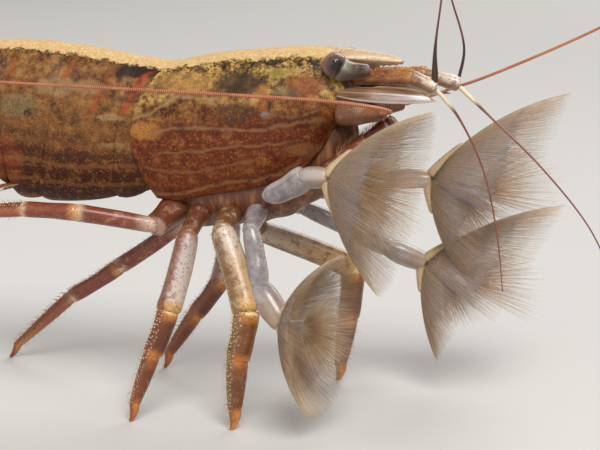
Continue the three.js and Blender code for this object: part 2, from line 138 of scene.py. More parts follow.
# %% [markdown]
# Rows of a few sizes drive each shape, as on a tailor's pattern. A smooth curve runs through them.

# %% Curves through rows of sizes
def through(rows, at, knots=None):
    """Values at these places on a smooth curve through the rows."""
    rows = np.asarray(rows, float)
    knots = np.linspace(0, 1, len(rows)) if knots is None else np.asarray(knots, float)
    at = np.clip(np.asarray(at, float), knots[0], knots[-1])
    slopes = np.gradient(rows, knots, axis=0)
    i = np.clip(np.searchsorted(knots, at, side="right") - 1, 0, len(rows) - 2)
    span = (knots[i + 1] - knots[i])[..., None]
    t = (at - knots[i])[..., None] / span
    start = (2 * t**3 - 3 * t**2 + 1) * rows[i] + (t**3 - 2 * t**2 + t) * slopes[i] * span
    return start + (3 * t**2 - 2 * t**3) * rows[i + 1] + (t**3 - t**2) * slopes[i + 1] * span


def smoothstep(value, low, high):
    t = np.clip((value - low) / (high - low), 0, 1)
    return t * t * (3 - 2 * t)


def unit(vectors):
    return vectors / np.maximum(np.linalg.norm(vectors, axis=-1, keepdims=True), 1e-12)


def frames(points, up):
    """Directions along, up from and across a path, carried along it without a twist."""
    along = unit(np.gradient(points, axis=0))
    lift = np.empty_like(points)
    carried = np.asarray(up, float)
    for i, direction in enumerate(along):
        carried = carried - direction * (carried @ direction)
        carried /= np.linalg.norm(carried)
        lift[i] = carried
    return along, lift, np.cross(along, lift)


def spaced(points, count, power=0.5):
    """Evenly spaced points on a smooth curve through a few points, and how far along each is."""
    points = np.asarray(points, float)
    steps = np.linalg.norm(np.diff(points, axis=0), axis=1) ** power
    knots = np.concatenate([[0], np.cumsum(steps)])
    fine = through(points, np.linspace(0, knots[-1], 40 * len(points)), knots)
    run = np.concatenate([[0], np.cumsum(np.linalg.norm(np.diff(fine, axis=0), axis=1))])
    at = np.linspace(0, run[-1], count)
    return np.stack([np.interp(at, run, fine[:, k]) for k in range(3)], axis=1), at


print("a curve through 0, 1 and 4, at its middle:", through([[0.0], [1.0], [4.0]], [0.5]).ravel())

# %% [markdown]
# A sleeve is the commonest piece: one grid rolled round a path, with a half width and a half height at
# every step along it. Two small helpers close its ends like half balls and crowd the rings there.

# %% A sleeve round a path
FORWARD, UP = (1, 0, 0), (0, 0, 1)


def sleeve(name, centres, wide, high, around=20, up=FORWARD, relief=None):
    """A closed sleeve round a path. Lie: mm along it, cosine and sine of the place around it."""
    centres = np.asarray(centres, float)
    wide, high = np.broadcast_to(wide, len(centres)), np.broadcast_to(high, len(centres))
    _, lift, side = frames(centres, up)
    run = np.concatenate([[0], np.cumsum(np.linalg.norm(np.diff(centres, axis=0), axis=1))])

    def place(u, v):
        ring = np.rint(v * (len(centres) - 1)).astype(int)
        turn = 2 * math.pi * (u - 0.5)
        rise, swing = np.cos(turn), np.sin(turn)
        swell = 1 if relief is None else relief(run[ring], turn)
        points = centres[ring] + side[ring] * (wide[ring] * swing * swell)[:, None]
        points = points + lift[ring] * (high[ring] * rise * swell)[:, None]
        return points, np.stack([run[ring], rise, swing], axis=1)

    return lay_grid(name, around, len(centres) - 1, place)


def rounded(share, start=0.08, end=0.08):
    """A girth that closes to nothing, as half a ball does, at both ends of a length."""
    head = np.sqrt(np.clip(1 - np.clip(1 - share / start, 0, 1) ** 2, 0, 1))
    tail = np.sqrt(np.clip(1 - np.clip(1 - (1 - share) / end, 0, 1) ** 2, 0, 1))
    return head * tail


def crowded(count, start=0.08, end=0.08, cap=5):
    """Shares from 0 to 1 that crowd together where the ends close."""
    arc = 1 - np.cos(np.linspace(0, math.pi / 2, cap))
    middle = np.linspace(start, 1 - end, count)[1:-1]
    return np.concatenate([arc * start, middle, 1 - arc[::-1] * end])


print("ends of a sleeve crowd at:", crowded(4).round(3))

# %% [markdown]
# A finished piece gets its material and rides on the root body, and the plain solids that it
# stands for are hidden.

# %% Dress a piece
PIECES = []


def dress(piece, material, slot, *nodes):
    """Give a finished piece its material, and hide the plain solids that it stands for."""
    piece.data.materials.clear()
    piece.data.materials.append(material)
    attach(piece, "root")
    if nodes:
        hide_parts(*nodes)
    PIECES.append(piece)
    return piece


print("pieces dressed so far:", len(PIECES))

# %% [markdown]
# The back shell is one sheet of chitin bent over the body like a saddle, open below and at both
# ends. It could be half of a closed body with its inside cut out. Here an open sheet is laid out to
# its three free edges and then given a wall, so that its lips are real. A bead runs along each lip
# with a shallow gutter beside it, and the front edge is drawn back into a socket behind each eye.

# %% The back shell
SHELL_ROWS = np.array([
    [0.2, 42.5, 26.1, 5.9], [2.5, 43.05, 25.9, 6.35], [6, 43.65, 26.7, 6.6], [10, 44.05, 27.6, 6.5],
    [14, 44.4, 28.8, 6.1], [17.2, 44.5, 30.6, 5.5], [19.4, 44.4, 33.2, 4.7], [20.8, 44.3, 36, 3.5],
])  # place along the body, ridge height, lower edge, half width
SHELL_DEPTH = 16.4
MARGIN_BULGE, FACE_REACH, SOCKET_DEPTH = 4.2, 1.7, 1.5
WIDEST = 0.45
SHELL_WALL = 0.3
SHELL_HEM = math.radians(142)  # how far the sheet wraps round, from the ridge to its lower edge
BEAD, BEAD_WIDTH = 0.1, 0.35
SOCKET_LEVEL = 42.5  # height of the eye's socket
FACE_TOP, FACE_HEIGHT = 41.4, 6.4  # where the front edge bows forward, below the socket


def shell_edges(points, x_row):
    """Bow the rear edge back on the flanks, the front edge forward, and cut the eye sockets."""
    down = np.clip((SOCKET_LEVEL - points[:, 2]) / SHELL_DEPTH, 0, 1)
    rear = 1 - smoothstep(x_row, 0.2, 12)
    front = smoothstep(x_row, 14, 20.8) * (x_row <= 21)
    socket = 1 - smoothstep(np.abs(points[:, 2] - SOCKET_LEVEL), 0.6, 1.8)
    points[:, 0] -= MARGIN_BULGE * rear * np.sin(0.87 * math.pi * down**0.8)
    face = np.clip((FACE_TOP - points[:, 2]) / FACE_HEIGHT, 0, 1)
    points[:, 0] += FACE_REACH * front * np.sin(math.pi * face)
    points[:, 0] -= SOCKET_DEPTH * front * socket * smoothstep(np.abs(points[:, 1]), 0.8, 2)
    return points


def bead(reach):
    """Height of a rounded lip and its gutter, by the distance from a free edge."""
    lip = BEAD * np.exp(-((reach / BEAD_WIDTH) ** 2))
    return lip - 0.6 * BEAD * np.exp(-(((reach - 2.6 * BEAD_WIDTH) / BEAD_WIDTH) ** 2))


def shell_place(u, v):
    turn = 2 * SHELL_HEM * (u - 0.5)
    x_row = SHELL_ROWS[0, 0] + v * (SHELL_ROWS[-1, 0] - SHELL_ROWS[0, 0])
    _, top, low, wide = through(SHELL_ROWS, x_row, SHELL_ROWS[:, 0]).T
    level = low + WIDEST * (top - low)
    rise = np.cos(turn)
    waist = np.where(rise > 0, 1 - 0.12 * rise**2, 1 + 0.1 * rise**2)
    drop = np.where(rise > 0, rise * (top - level), rise / -math.cos(SHELL_HEM) * (level - low))
    to_hem = (SHELL_HEM - np.abs(turn)) * 0.5 * (wide + 8)
    to_rear, to_front = x_row - SHELL_ROWS[0, 0], SHELL_ROWS[-1, 0] - x_row
    reach = np.minimum(np.minimum(to_hem, to_rear + 0.02), to_front + 0.02)
    swell = 1 + bead(reach) / wide
    points = np.stack([x_row, wide * swell * np.sin(turn) * waist, level + drop * swell], axis=1)
    return shell_edges(points, x_row), np.stack([x_row, top - points[:, 2], reach], axis=1)


shell = wall(lay_grid("back_shell", 150, 130, shell_place), SHELL_WALL)
print("back shell:", len(shell.data.polygons), "faces")

# %% [markdown]
# The beak grows out of the ridge of the back shell, a flat blade with a keel above and below and a
# row of small teeth under its tip. It starts inside the shell, so that the ridge runs into it.

# %% The beak
BEAK_ROWS = np.array([
    [15, 44.3, 42.2, 1.2], [18, 44.52, 42.3, 1.5], [20.8, 44.42, 42.35, 1.5], [24, 44.05, 42.35, 0.9],
    [26.4, 43.62, 42.45, 0.55], [27.8, 43.2, 42.6, 0.3], [28.3, 42.98, 42.75, 0.06],
])  # place along the body, upper keel, lower keel, half width


def beak_place(u, v):
    turn = 2 * math.pi * (u - 0.5)
    x_row = BEAK_ROWS[0, 0] + v * (BEAK_ROWS[-1, 0] - BEAK_ROWS[0, 0])
    _, top, low, wide = through(BEAK_ROWS, x_row, BEAK_ROWS[:, 0]).T
    tuck = np.sqrt(np.clip((x_row - BEAK_ROWS[0, 0]) / 0.6, 0, 1))
    tuck = tuck * np.sqrt(np.clip((BEAK_ROWS[-1, 0] + 0.01 - x_row) / 0.25, 0, 1))
    level, rise, swing = low + 0.42 * (top - low), np.cos(turn), np.sin(turn)
    teeth = 0.16 * np.abs(np.sin(4.2 * x_row)) * (rise < -0.9) * (x_row > 22)
    drop = np.where(rise > 0, np.abs(rise) ** 1.5 * (top - level), -np.abs(rise) ** 1.3 * (level - low))
    keel = np.stack([x_row, wide * swing * (1 - 0.15 * rise**2) * tuck,
                     level + (drop - teeth) * tuck], axis=1)
    return keel, np.stack([x_row, top - keel[:, 2], np.full_like(u, 9.0)], axis=1)


beak = lay_grid("beak", 40, 110, beak_place)
print("beak:", len(beak.data.polygons), "faces")

# %% [markdown]
# Inside the shell's front opening sits the head itself, dark soft tissue that the eyes, feelers and
# mouth feet grow from. Below, the breast plate carries a stout hip for every limb.

# %% The head inside the shell and the breast
HEAD_ROWS = np.array([
    [12, 43, 32, 3.2], [16, 43.3, 33, 3.6], [19, 43.2, 34.4, 3.3], [21.4, 42.6, 36, 2.5], [23, 41, 37.2, 1.3],
])
CHEST_ROWS = np.array([
    [-0.4, 29, 23.4, 2.4], [2, 30, 22.4, 3.3], [8, 31, 22.5, 3.9], [13, 32, 23.8, 3.7],
    [17, 34, 26.6, 3.1], [20, 37, 30.6, 2.7], [22.3, 38, 34.2, 1.7],
])  # place along the body, upper level, lower level, half width


def trunk(name, rows, count, relief=None):
    """A rounded closed body over rows of place, upper level, lower level and half width."""
    share = crowded(count, 0.06, 0.08)
    x_row = rows[0, 0] + share * (rows[-1, 0] - rows[0, 0])
    _, top, low, wide = through(rows, x_row, rows[:, 0]).T
    fill = rounded(share, 0.06, 0.08)
    centres = np.stack([x_row, 0 * x_row, (top + low) / 2], axis=1)
    return sleeve(name, centres, wide * fill, (top - low) / 2 * fill, 48, UP, relief)


head = trunk("head_core", HEAD_ROWS, 24)
HIP_SPACING = 3.4
chest = trunk("breast", CHEST_ROWS, 90, lambda run, turn: 1 + 0.035 * np.cos(2 * math.pi * run / HIP_SPACING)
              * smoothstep(-np.cos(turn), -0.6, 0.4))
print("head core and breast:", len(head.data.polygons) + len(chest.data.polygons), "faces")

# %% [markdown]
# The abdomen is six rings of shell, each tucked under the one in front, so that it can bend like a
# suit of armour. Every ring is a high arch whose side plates hang below a raised belly, with a
# rolled rear edge. The second ring's side plates lap over those on both sides of it.

# %% The six rings of the abdomen
BACK_LINE = [(1, 0, 42.3), (-4.4, 0, 43), (-13.3, 0, 44.35), (-21, 0, 44.8), (-27.3, 0, 44.1),
             (-32.8, 0, 42.2), (-40.3, 0, 38.4)]
RING_DEPTH = [16, 19.2, 21.2, 20.6, 17.4, 13.2, 7.8]
RING_HALF_WIDTH = [5.4, 5.8, 6.1, 5.9, 5.3, 4.5, 2.9]
ABDOMEN_FLARE, PLEURA_LIFT = 0.06, 3.2
LAP_REACH, LAP_PROUD = 1.3, 0.3  # how far the second ring's side plates lap over, and stand out
RING_ROWS = [  # share of the ring, and its size there: cap, tucked front, arch, rolled rear edge
    (-0.12, 0), (-0.12, 0.4), (-0.12, 0.9), (-0.06, 0.945), (0, 0.958), (0.03, 0.968), (0.06, 0.982),
    (0.1, 0.993), (0.16, 1), (0.24, 1), (0.32, 1), (0.4, 1), (0.48, 1), (0.56, 1), (0.64, 1), (0.72, 1),
    (0.8, 1), (0.87, 0.999), (0.92, 0.995), (0.95, 0.994), (0.975, 0.998), (0.99, 1.001), (1.005, 1),
    (1.012, 0.994), (1.008, 0.986), (0.99, 0.976), (0.95, 0.972), (0.9, 0.97), (0.84, 0.9), (0.84, 0.4),
    (0.84, 0),
]


def on_back(share):
    """A point on the back line and the direction along it, for shares counted joint by joint."""
    knots = np.linspace(0, 1, len(BACK_LINE))
    point = through(BACK_LINE, share, knots)
    return point, unit(through(BACK_LINE, share + 0.004, knots) - through(BACK_LINE, share - 0.004, knots))


def ring_place(number):
    rows = np.array(RING_ROWS)
    plates = 1 if number < 6 else 0

    def place(u, v):
        share, size = rows[np.rint(v * (len(rows) - 1)).astype(int)].T
        body, turn = np.clip(share, 0, 1), 2 * math.pi * (u - 0.5)
        rise, swing = np.cos(turn), np.sin(turn)
        at = np.clip((number - 1 + share) / 6, 0.005, 0.995)
        spine, along = on_back(at)
        down = np.stack([along[:, 2], 0 * share, -along[:, 0]], axis=1)
        down = down * np.sign(-down[:, 2:3])
        flare = 1 + ABDOMEN_FLARE * (body - 0.5)
        depth = through(np.array(RING_DEPTH)[:, None], at)[:, 0] * flare
        depth = depth + plates * np.sqrt(np.clip(np.sin(math.pi * body), 0, 1))
        wide = through(np.array(RING_HALF_WIDTH)[:, None], at)[:, 0] * flare
        arch = np.where(rise < 0, PLEURA_LIFT * rise**2 * (1 - np.abs(swing)), 0) * (1 if plates else 0.2)
        lap = LAP_REACH * smoothstep(-rise, -0.1, 0.9) * np.sin(math.pi * (body - 0.5)) * (number == 2)
        proud = LAP_PROUD * smoothstep(-rise, -0.1, 0.5) * (number == 2)
        fall = depth / 2 - size * (depth / 2 * rise + arch)
        points = spine + down * fall[:, None] + along * (lap * (size > 0.8))[:, None]
        points[:, 1] += size * (wide + proud) * swing * np.where(rise > 0, 1 - 0.1 * rise**2, 1)
        return points, np.stack([points[:, 0], fall, share], axis=1)

    return place


rings = []
for number in range(1, 7):
    rings.append(lay_grid(f"abdomen_ring_{number}", 96, len(RING_ROWS) - 1, ring_place(number)))
print("abdomen rings:", [len(ring.data.polygons) for ring in rings])

# %% [markdown]
# The tail fan spreads behind the last ring: a stiff narrow blade in the middle with two pairs of
# thinner blades beside it, each with a raised rib and a fringe of fine hairs round its end.

# %% Blades, and the tail fan
TAIL_ROOT = np.array([-40.6, 0, 35.6])
TAIL_DROP = 0.52
TELSON_LENGTH, TELSON_DROP = 11.4, 0.48
NUDGE = 0.004  # how far a blade feels beside a place for the way that its surface faces


def blade(name, surface, across, along, thick, rib=0.0):
    """A closed leaf over surface(u from -1 to 1, v from 0 to 1): thin at its rim, ribbed mid-way."""
    def place(u, v):
        turn = 2 * math.pi * u
        reach, face = -np.cos(turn), np.sin(turn)
        here = surface(reach, v)
        over = surface(np.clip(reach + NUDGE, -1, 1), v) - surface(np.clip(reach - NUDGE, -1, 1), v)
        ahead = surface(reach, np.clip(v + NUDGE, 0, 1)) - surface(reach, np.clip(v - NUDGE, 0, 1))
        normal = unit(np.cross(over, ahead))
        body = thick / 2 * np.sin(math.pi * np.clip(v * 0.98 + 0.01, 0, 1)) ** 0.35
        ridge = rib * np.exp(-((reach / 0.12) ** 2)) * (1 - v)
        swell = body * np.sign(face) * np.abs(face) ** 0.7 + ridge * np.sign(face)
        swell = np.where((v < 1e-6) | (v > 1 - 1e-6), 0, swell)
        points = here + normal * swell[:, None]
        return points, np.stack([v, reach, face], axis=1)

    return lay_grid(name, across, along, place)


def tail_surface(length, half_width, root, spread, lift):
    def surface(u, v):
        wide = half_width * np.sqrt(np.clip(np.sin(math.pi * (0.1 + 0.86 * v)), 0, 1)) * u
        out = length * v * (1 - 0.12 * u * u)
        back = out * math.cos(spread) - wide * math.sin(spread)
        aside = out * math.sin(spread) + wide * math.cos(spread)
        return np.stack([TAIL_ROOT[0] - back, root * np.sign(spread) + aside,
                         TAIL_ROOT[2] + lift - TAIL_DROP * back + 0.25 * (1 - u**2)], axis=1)
    return surface


share = crowded(30, 0.05, 0.06)
centres = np.stack([TAIL_ROOT[0] + 1.2 - TELSON_LENGTH * share, 0 * share,
                    TAIL_ROOT[2] + 2.2 - TELSON_DROP * TELSON_LENGTH * share], axis=1)
telson_wide = (2.1 - 1.3 * share) * rounded(share, 0.05, 0.06)
telson = sleeve("telson_blade", centres, telson_wide, 0.42 * telson_wide, 32, UP)
spread_lie(telson, 0, 1)
tail_blades = {}
for side, sign in SIDES.items():
    plans = {"inner": (10.6, 1.75, 1.5, 0.3 * sign, -0.3), "outer": (11.4, 2.1, 1.7, 0.66 * sign, -1.6)}
    for name, plan in plans.items():
        surface = tail_surface(*plan)
        tail_blades[name, side] = blade(f"tail_{name}_{side}_blade", surface, 48, 40, 0.4, 0.12), surface
print("tail fan:", 1 + len(tail_blades), "blades")

# %% [markdown]
# Hairs, bristles and warts come in thousands. Particle hair would not survive outside Blender, so
# each is a small closed solid, tapered along a path, and all on one piece share one mesh. Each hair
# also gets a tiny patch of its own in a second UV map, at its root's place on the flattened skin.

# %% Many small solids in one mesh
TUFT_PATCH = 0.003
HAIR_SIDES, WART_SIDES = 3, 6
HAIR_GIRTH, FRINGE_GIRTH = 0.03, 0.028
WART_LIE = 9.5  # a first measure that no skin reaches, so that a finish can tell a wart


def many(name, corners, faces, lie, patch=None):
    """One mesh from many copies: corners (copies, points, 3), one list of faces for a copy."""
    corners[..., 2] = np.maximum(corners[..., 2], 0)
    copies, size = corners.shape[:2]
    shift = np.arange(copies)[:, None, None] * size
    mesh = bpy.data.meshes.new(name)
    flat = [tuple(face) for count in sorted({len(f) for f in faces})
            for face in (np.array([f for f in faces if len(f) == count])[None]
                         + shift).reshape(-1, count).tolist()]
    mesh.from_pydata(((corners.reshape(-1, 3) + OFFSET) * MM).tolist(), [], flat)
    piece = bpy.data.objects.new(name, mesh)
    bpy.context.scene.collection.objects.link(piece)
    set_lie(piece, lie.reshape(-1, 3))
    mesh.shade_smooth()
    if patch is not None:
        corner = np.empty(len(mesh.loops), np.int64)
        mesh.loops.foreach_get("vertex_index", corner)
        within = np.stack([lie.reshape(-1, 3)[:, 1], lie.reshape(-1, 3)[:, 0]], axis=1) % 1.0
        uv = patch[corner // size] + TUFT_PATCH * (within[corner] - 0.5)
        mesh.uv_layers.new(name="OFBake").data.foreach_set("uv", uv.astype(np.float32).ravel())
    return piece


print("each tuft takes", TUFT_PATCH, "of its map")

# %% Hairs
def hairs(name, paths, girth, patch, tone=None):
    """Tapered three-sided hairs along paths (hairs, points, 3); tone picks each hair's colour."""
    (count, steps), sides = paths.shape[:2], HAIR_SIDES
    along = unit(np.gradient(paths, axis=1))
    across = unit(np.cross(along, (0.31, 0.22, 0.92)))
    over = np.cross(across, along)
    turn = 2 * math.pi * np.arange(sides) / sides
    share = np.linspace(0, 1, steps)
    wide = girth * (0.85 * (1 - share) ** 0.6 + 0.15)
    rim = (across[:, :, None] * (wide[:, None] * np.cos(turn))[..., None]
           + over[:, :, None] * (wide[:, None] * np.sin(turn))[..., None])
    corners = (paths[:, :, None] + rim).reshape(count, steps * sides, 3)
    faces = [(a * sides + b, a * sides + (b + 1) % sides,
              (a + 1) * sides + (b + 1) % sides, (a + 1) * sides + b)
             for a in range(steps - 1) for b in range(sides)]
    faces += [tuple(range(sides))[::-1], tuple(range((steps - 1) * sides, steps * sides))]
    lie = np.empty((count, steps, sides, 3))
    lie[..., 0] = share[None, :, None] * 0.98
    lie[..., 1] = (np.arange(sides) / sides)[None, None]
    lie[..., 2] = dice.random((count, 1, 1)) if tone is None else np.clip(tone, 0, 1)[:, None, None]
    return many(name, corners, faces, lie.reshape(count, -1, 3), patch)


print("a hair has", HAIR_SIDES, "sides")

# %% Warts
def warts(name, roots, normals, width, height):
    """Low blunt cones standing on the skin."""
    count, sides = len(roots), WART_SIDES
    width, height = np.broadcast_to(width, count), np.broadcast_to(height, count)
    across = unit(np.cross(normals, (0.3, 0.2, 0.93)))
    over = np.cross(normals, across)
    corners = []
    for rise, share in ((-0.4, 1.0), (0.35, 0.85), (0.8, 0.5)):
        for k in range(sides):
            angle = 2 * math.pi * k / sides
            ring = across * math.cos(angle) + over * math.sin(angle)
            corners.append(roots + normals * (height * rise)[:, None] + ring * (width * share)[:, None])
    corners.append(roots + normals * height[:, None])
    corners.append(roots - normals * (0.4 * height)[:, None])
    top, base = 3 * sides, 3 * sides + 1
    faces = [(a * sides + k, a * sides + (k + 1) % sides,
              (a + 1) * sides + (k + 1) % sides, (a + 1) * sides + k)
             for a in range(2) for k in range(sides)]
    faces += [(2 * sides + k, 2 * sides + (k + 1) % sides, top) for k in range(sides)]
    faces += [((k + 1) % sides, k, base) for k in range(sides)]
    grid = np.stack(corners, axis=1)
    lie = np.zeros(grid.shape)
    lie[..., 0] = WART_LIE
    lie[..., 2] = dice.random((count, 1))
    return many(name, grid, faces, lie)


print("a wart has", WART_SIDES, "sides")

# %% [markdown]
# A leg is a chain of stiff sleeves, each a little fuller towards its far end and tucked into the
# next. A skin function says where any place on a sleeve lies, so the sleeve, its warts and its
# hairs all use the same shape. Lie keeps which length of the leg a vertex is on, and how far along.

# %% One length of a limb
def length_skin(start, end, girth, rows, bow=0.0, flat=1.12, caps=(0.05, 0.05), toward=FORWARD):
    """skin(share, turn) gives places and outward directions on one length; turn 0 is forwards."""
    start, end, rows = np.asarray(start, float), np.asarray(end, float), np.asarray(rows, float)
    axis = unit(end - start)
    lift = unit(np.array(toward) - axis * (axis @ toward))
    side = np.cross(axis, lift)

    def skin(share, turn):
        size = girth * through(rows[:, 1:], share, rows[:, 0])[:, 0] * rounded(share, *caps)
        centre = start + share[:, None] * (end - start) + lift * (bow * np.sin(math.pi * share))[:, None]
        out = side * (size * np.sin(turn))[:, None] + lift * (flat * size * np.cos(turn))[:, None]
        return centre + out, unit(side * (np.sin(turn) * flat)[:, None] + lift * np.cos(turn)[:, None])

    return skin


def limb_sleeve(name, skin, number, around=28, count=34, caps=(0.05, 0.05)):
    """The sleeve over one skin; its lie starts at its number in the limb."""
    shares = crowded(count, *caps)

    def place(u, v):
        share, turn = shares[np.rint(v * (len(shares) - 1)).astype(int)], 2 * math.pi * (u - 0.5)
        return skin(share, turn)[0], np.stack([number + 0.998 * share, np.cos(turn), np.sin(turn)], axis=1)

    return lay_grid(name, around, len(shares) - 1, place)


def stretch(start, end, before, after):
    """The same length, begun before its joint and ended past the next, in millimetres."""
    start, end = np.asarray(start, float), np.asarray(end, float)
    axis = unit(end - start)
    return start - axis * before, end + axis * after


print("joined lengths reach past their joints:", stretch((0, 0, 0), (5, 0, 0), 0.5, 0.3))

# %% [markdown]
# Real legs differ in where they bend and how stout they are. Both are kept as rows of numbers, so that
# one function can build all six legs.

# %% Sizes and joints of the walking legs
# Share of the length and girth there.
THIGH = [(0, 0.8), (0.1, 0.92), (0.35, 1), (0.75, 1.03), (0.94, 1.06), (1, 1.04)]
WRIST = [(0, 1.04), (0.12, 1.08), (0.5, 1), (0.88, 1.02), (1, 0.98)]
SHIN = [(0, 1.08), (0.12, 1.1), (0.5, 1), (0.9, 0.74), (1, 0.66)]
HIP = [(0, 1.25), (0.3, 1.2), (0.6, 1.02), (0.9, 0.96), (1, 0.92)]
CLAW = [(0, 1.0), (0.25, 0.88), (0.6, 0.62), (0.9, 0.36), (1, 0.28)]

# Joints of the walking legs: hip, bend below the chest, knee, wrist, ankle and foot.
WALKERS = {
    "leg3_right": ([(7.6, -2.6, 24.4), (7.9, -7.2, 22.9), (11.9, -10.5, 14.1), (10.9, -11, 8.5),
                    (10.7, -11.7, 2.2), (10.4, -12, 0)], (1, 1.45, 1.3, 1.05)),
    "leg4_right": ([(3.8, -2.6, 24.6), (3.5, -6.9, 22.2), (2.1, -10.3, 13.6), (0.2, -10.7, 8.4),
                    (-1.9, -11.7, 2.1), (-2.3, -12, 0)], (0.9, 1.3, 1.1, 0.85)),
    "leg5_right": ([(0.6, -2.2, 24.8), (-0.8, -6.4, 23), (-9.9, -8.8, 24.6), (-16.7, -9.2, 24.8),
                    (-25.6, -9.7, 24), (-27.2, -9.8, 23.2)], (1.3, 1, 0.95, 0.75)),
    "leg3_left": ([(7.8, 2.6, 24.2), (9, 5.8, 20.6), (20.2, 8.8, 16), (19.2, 10.6, 9.2),
                   (17.9, 11.7, 2.2), (17.5, 12, 0)], (1, 1.4, 1.3, 1.05)),
    "leg4_left": ([(4.2, 2.6, 24.4), (4.6, 6.6, 21.6), (2.4, 9.6, 13.4), (-1.6, 10.7, 8.2),
                   (-5.9, 11.7, 2.1), (-6.6, 12, 0)], (0.9, 1.25, 1.05, 0.85)),
    "leg5_left": ([(0.6, 2.2, 24.6), (-1, 6.2, 21.8), (-11.6, 8.9, 14.4), (-18.8, 9.6, 9.8),
                   (-28, 11.4, 1.9), (-29.2, 11.6, 0)], (0.9, 0.95, 0.92, 0.72)),
}
print("legs planned:", list(WALKERS))

# %% Rows of warts and hairs
WARTS_PER_MM, HAIRS_PER_MM = 5.0, 5.0


def wart_rows(name, skin, length, turns, width, height):
    """Rows of warts along one length, jittered a little so that they look grown."""
    per_row = max(int(length * WARTS_PER_MM / 2), 3)
    share = np.tile(np.linspace(0.08, 0.95, per_row), len(turns))
    share = share + dice.normal(0, 0.012, len(share))
    turn = np.repeat(turns, per_row) + dice.normal(0, 0.09, len(share))
    roots, normals = skin(np.clip(share, 0.06, 0.97), turn)
    return warts(name, roots, normals, width * dice.uniform(0.7, 1.2, len(roots)), height)


def hair_rows(skin, length, turn, reach, lean, spread=0.25, low=0.05, high=0.98):
    """Curved hair paths that lean towards the limb's far end, and their roots on its flat skin."""
    count = max(int(length * HAIRS_PER_MM), 3)
    share = np.clip(np.linspace(low, high, count) + dice.normal(0, 0.01, count), 0.02, 0.98)
    turns = turn + dice.normal(0, spread, count)
    roots, normals = skin(share, turns)
    ahead = unit(skin(np.clip(share + 0.02, 0, 1), turns)[0] - roots)
    step = np.linspace(0, 1, 5)[None, :, None]
    size = (reach * dice.uniform(0.7, 1.15, count))[:, None, None]
    paths = (roots - normals * 0.04)[:, None] + size * (normals[:, None] * (step - 0.25 * step**2)
                                                       + ahead[:, None] * lean * step**1.5)
    return paths, np.stack([0.05 + 0.9 * share, (turns / (2 * math.pi)) % 1], axis=1)


print("warts and hairs in each mm:", WARTS_PER_MM, HAIRS_PER_MM)

# %% The six walking legs
def walker(name, joints, girths):
    """A walking leg: its upper and lower pieces, its warts and its bristles."""
    hip, bend, knee, wrist, ankle, foot = [np.array(joint, float) for joint in joints]
    skins = {
        0: length_skin(*stretch(hip, bend, 0.6, 0.35), girths[0] * 1.12, HIP),
        1: length_skin(*stretch(bend, knee, 0.5, 0.35), girths[1], THIGH, bow=0.2),
        2: length_skin(*stretch(knee, wrist, 0.3, 0.3), girths[2], WRIST, bow=0.15),
        3: length_skin(*stretch(wrist, ankle, 0.3, 0.15), girths[3], SHIN),
        4: length_skin(*stretch(ankle, foot, 0.25, 0), girths[3] * 0.72, CLAW, bow=0.18),
    }
    sleeves = [limb_sleeve(f"{name}_{k}", skin, k) for k, skin in skins.items()]
    hem = np.linalg.norm(np.diff([hip, bend, knee, wrist, ankle, foot], axis=0), axis=1)
    outer = 1 if hip[1] < 0 else -1
    warty = [wart_rows(f"{name}_w{k}", skins[k], hem[k], outer * np.array(turns), 0.75 * wide, 0.85 * high)
             for k, turns, wide, high in (
                 (1, (2.6, 3.0), 0.07, 0.07), (2, (1.75, 2.15, 2.55, 2.95, 3.5), 0.1, 0.13),
                 (3, (1.9, 2.3, 2.7, 3.1, 3.6), 0.085, 0.11))]
    claws = wart_rows(f"{name}_spines", skins[4], hem[4] * 1.6, (math.pi,), 0.07, 0.3)
    brush = [hair_rows(skins[k], hem[k], math.pi, reach, 0.7) for k, reach in ((2, 0.5), (3, 0.8), (4, 0.45))]
    brush += [hair_rows(skins[3], hem[3] * 0.5, 0.2, 0.5, 0.8),
              hair_rows(skins[1], hem[1] * 0.4, math.pi, 0.45, 0.6)]
    upper = join(f"{name}_thigh", [sleeves[0], sleeves[1], warty[0]])
    lower = join(f"{name}_shin", [*sleeves[2:], *warty[1:], claws])
    bristles = hairs(f"{name}_bristles", np.concatenate([paths for paths, _ in brush]), HAIR_GIRTH,
                     np.concatenate([patch for _, patch in brush]))
    return upper, lower, bristles


legs = {name: walker(name, *plan) for name, plan in WALKERS.items()}
print("walking legs:", sum(len(p.data.polygons) for leg in legs.values() for p in leg), "faces")

# %% [markdown]
# The first two pairs of legs end in hands of two fingers, and every finger carries a fan of long
# bristles instead of a pinching edge. Open, each fan is half a basket that faces the current. Its
# shape comes from an axis, how steeply it leaves it, and how far it wraps round it.

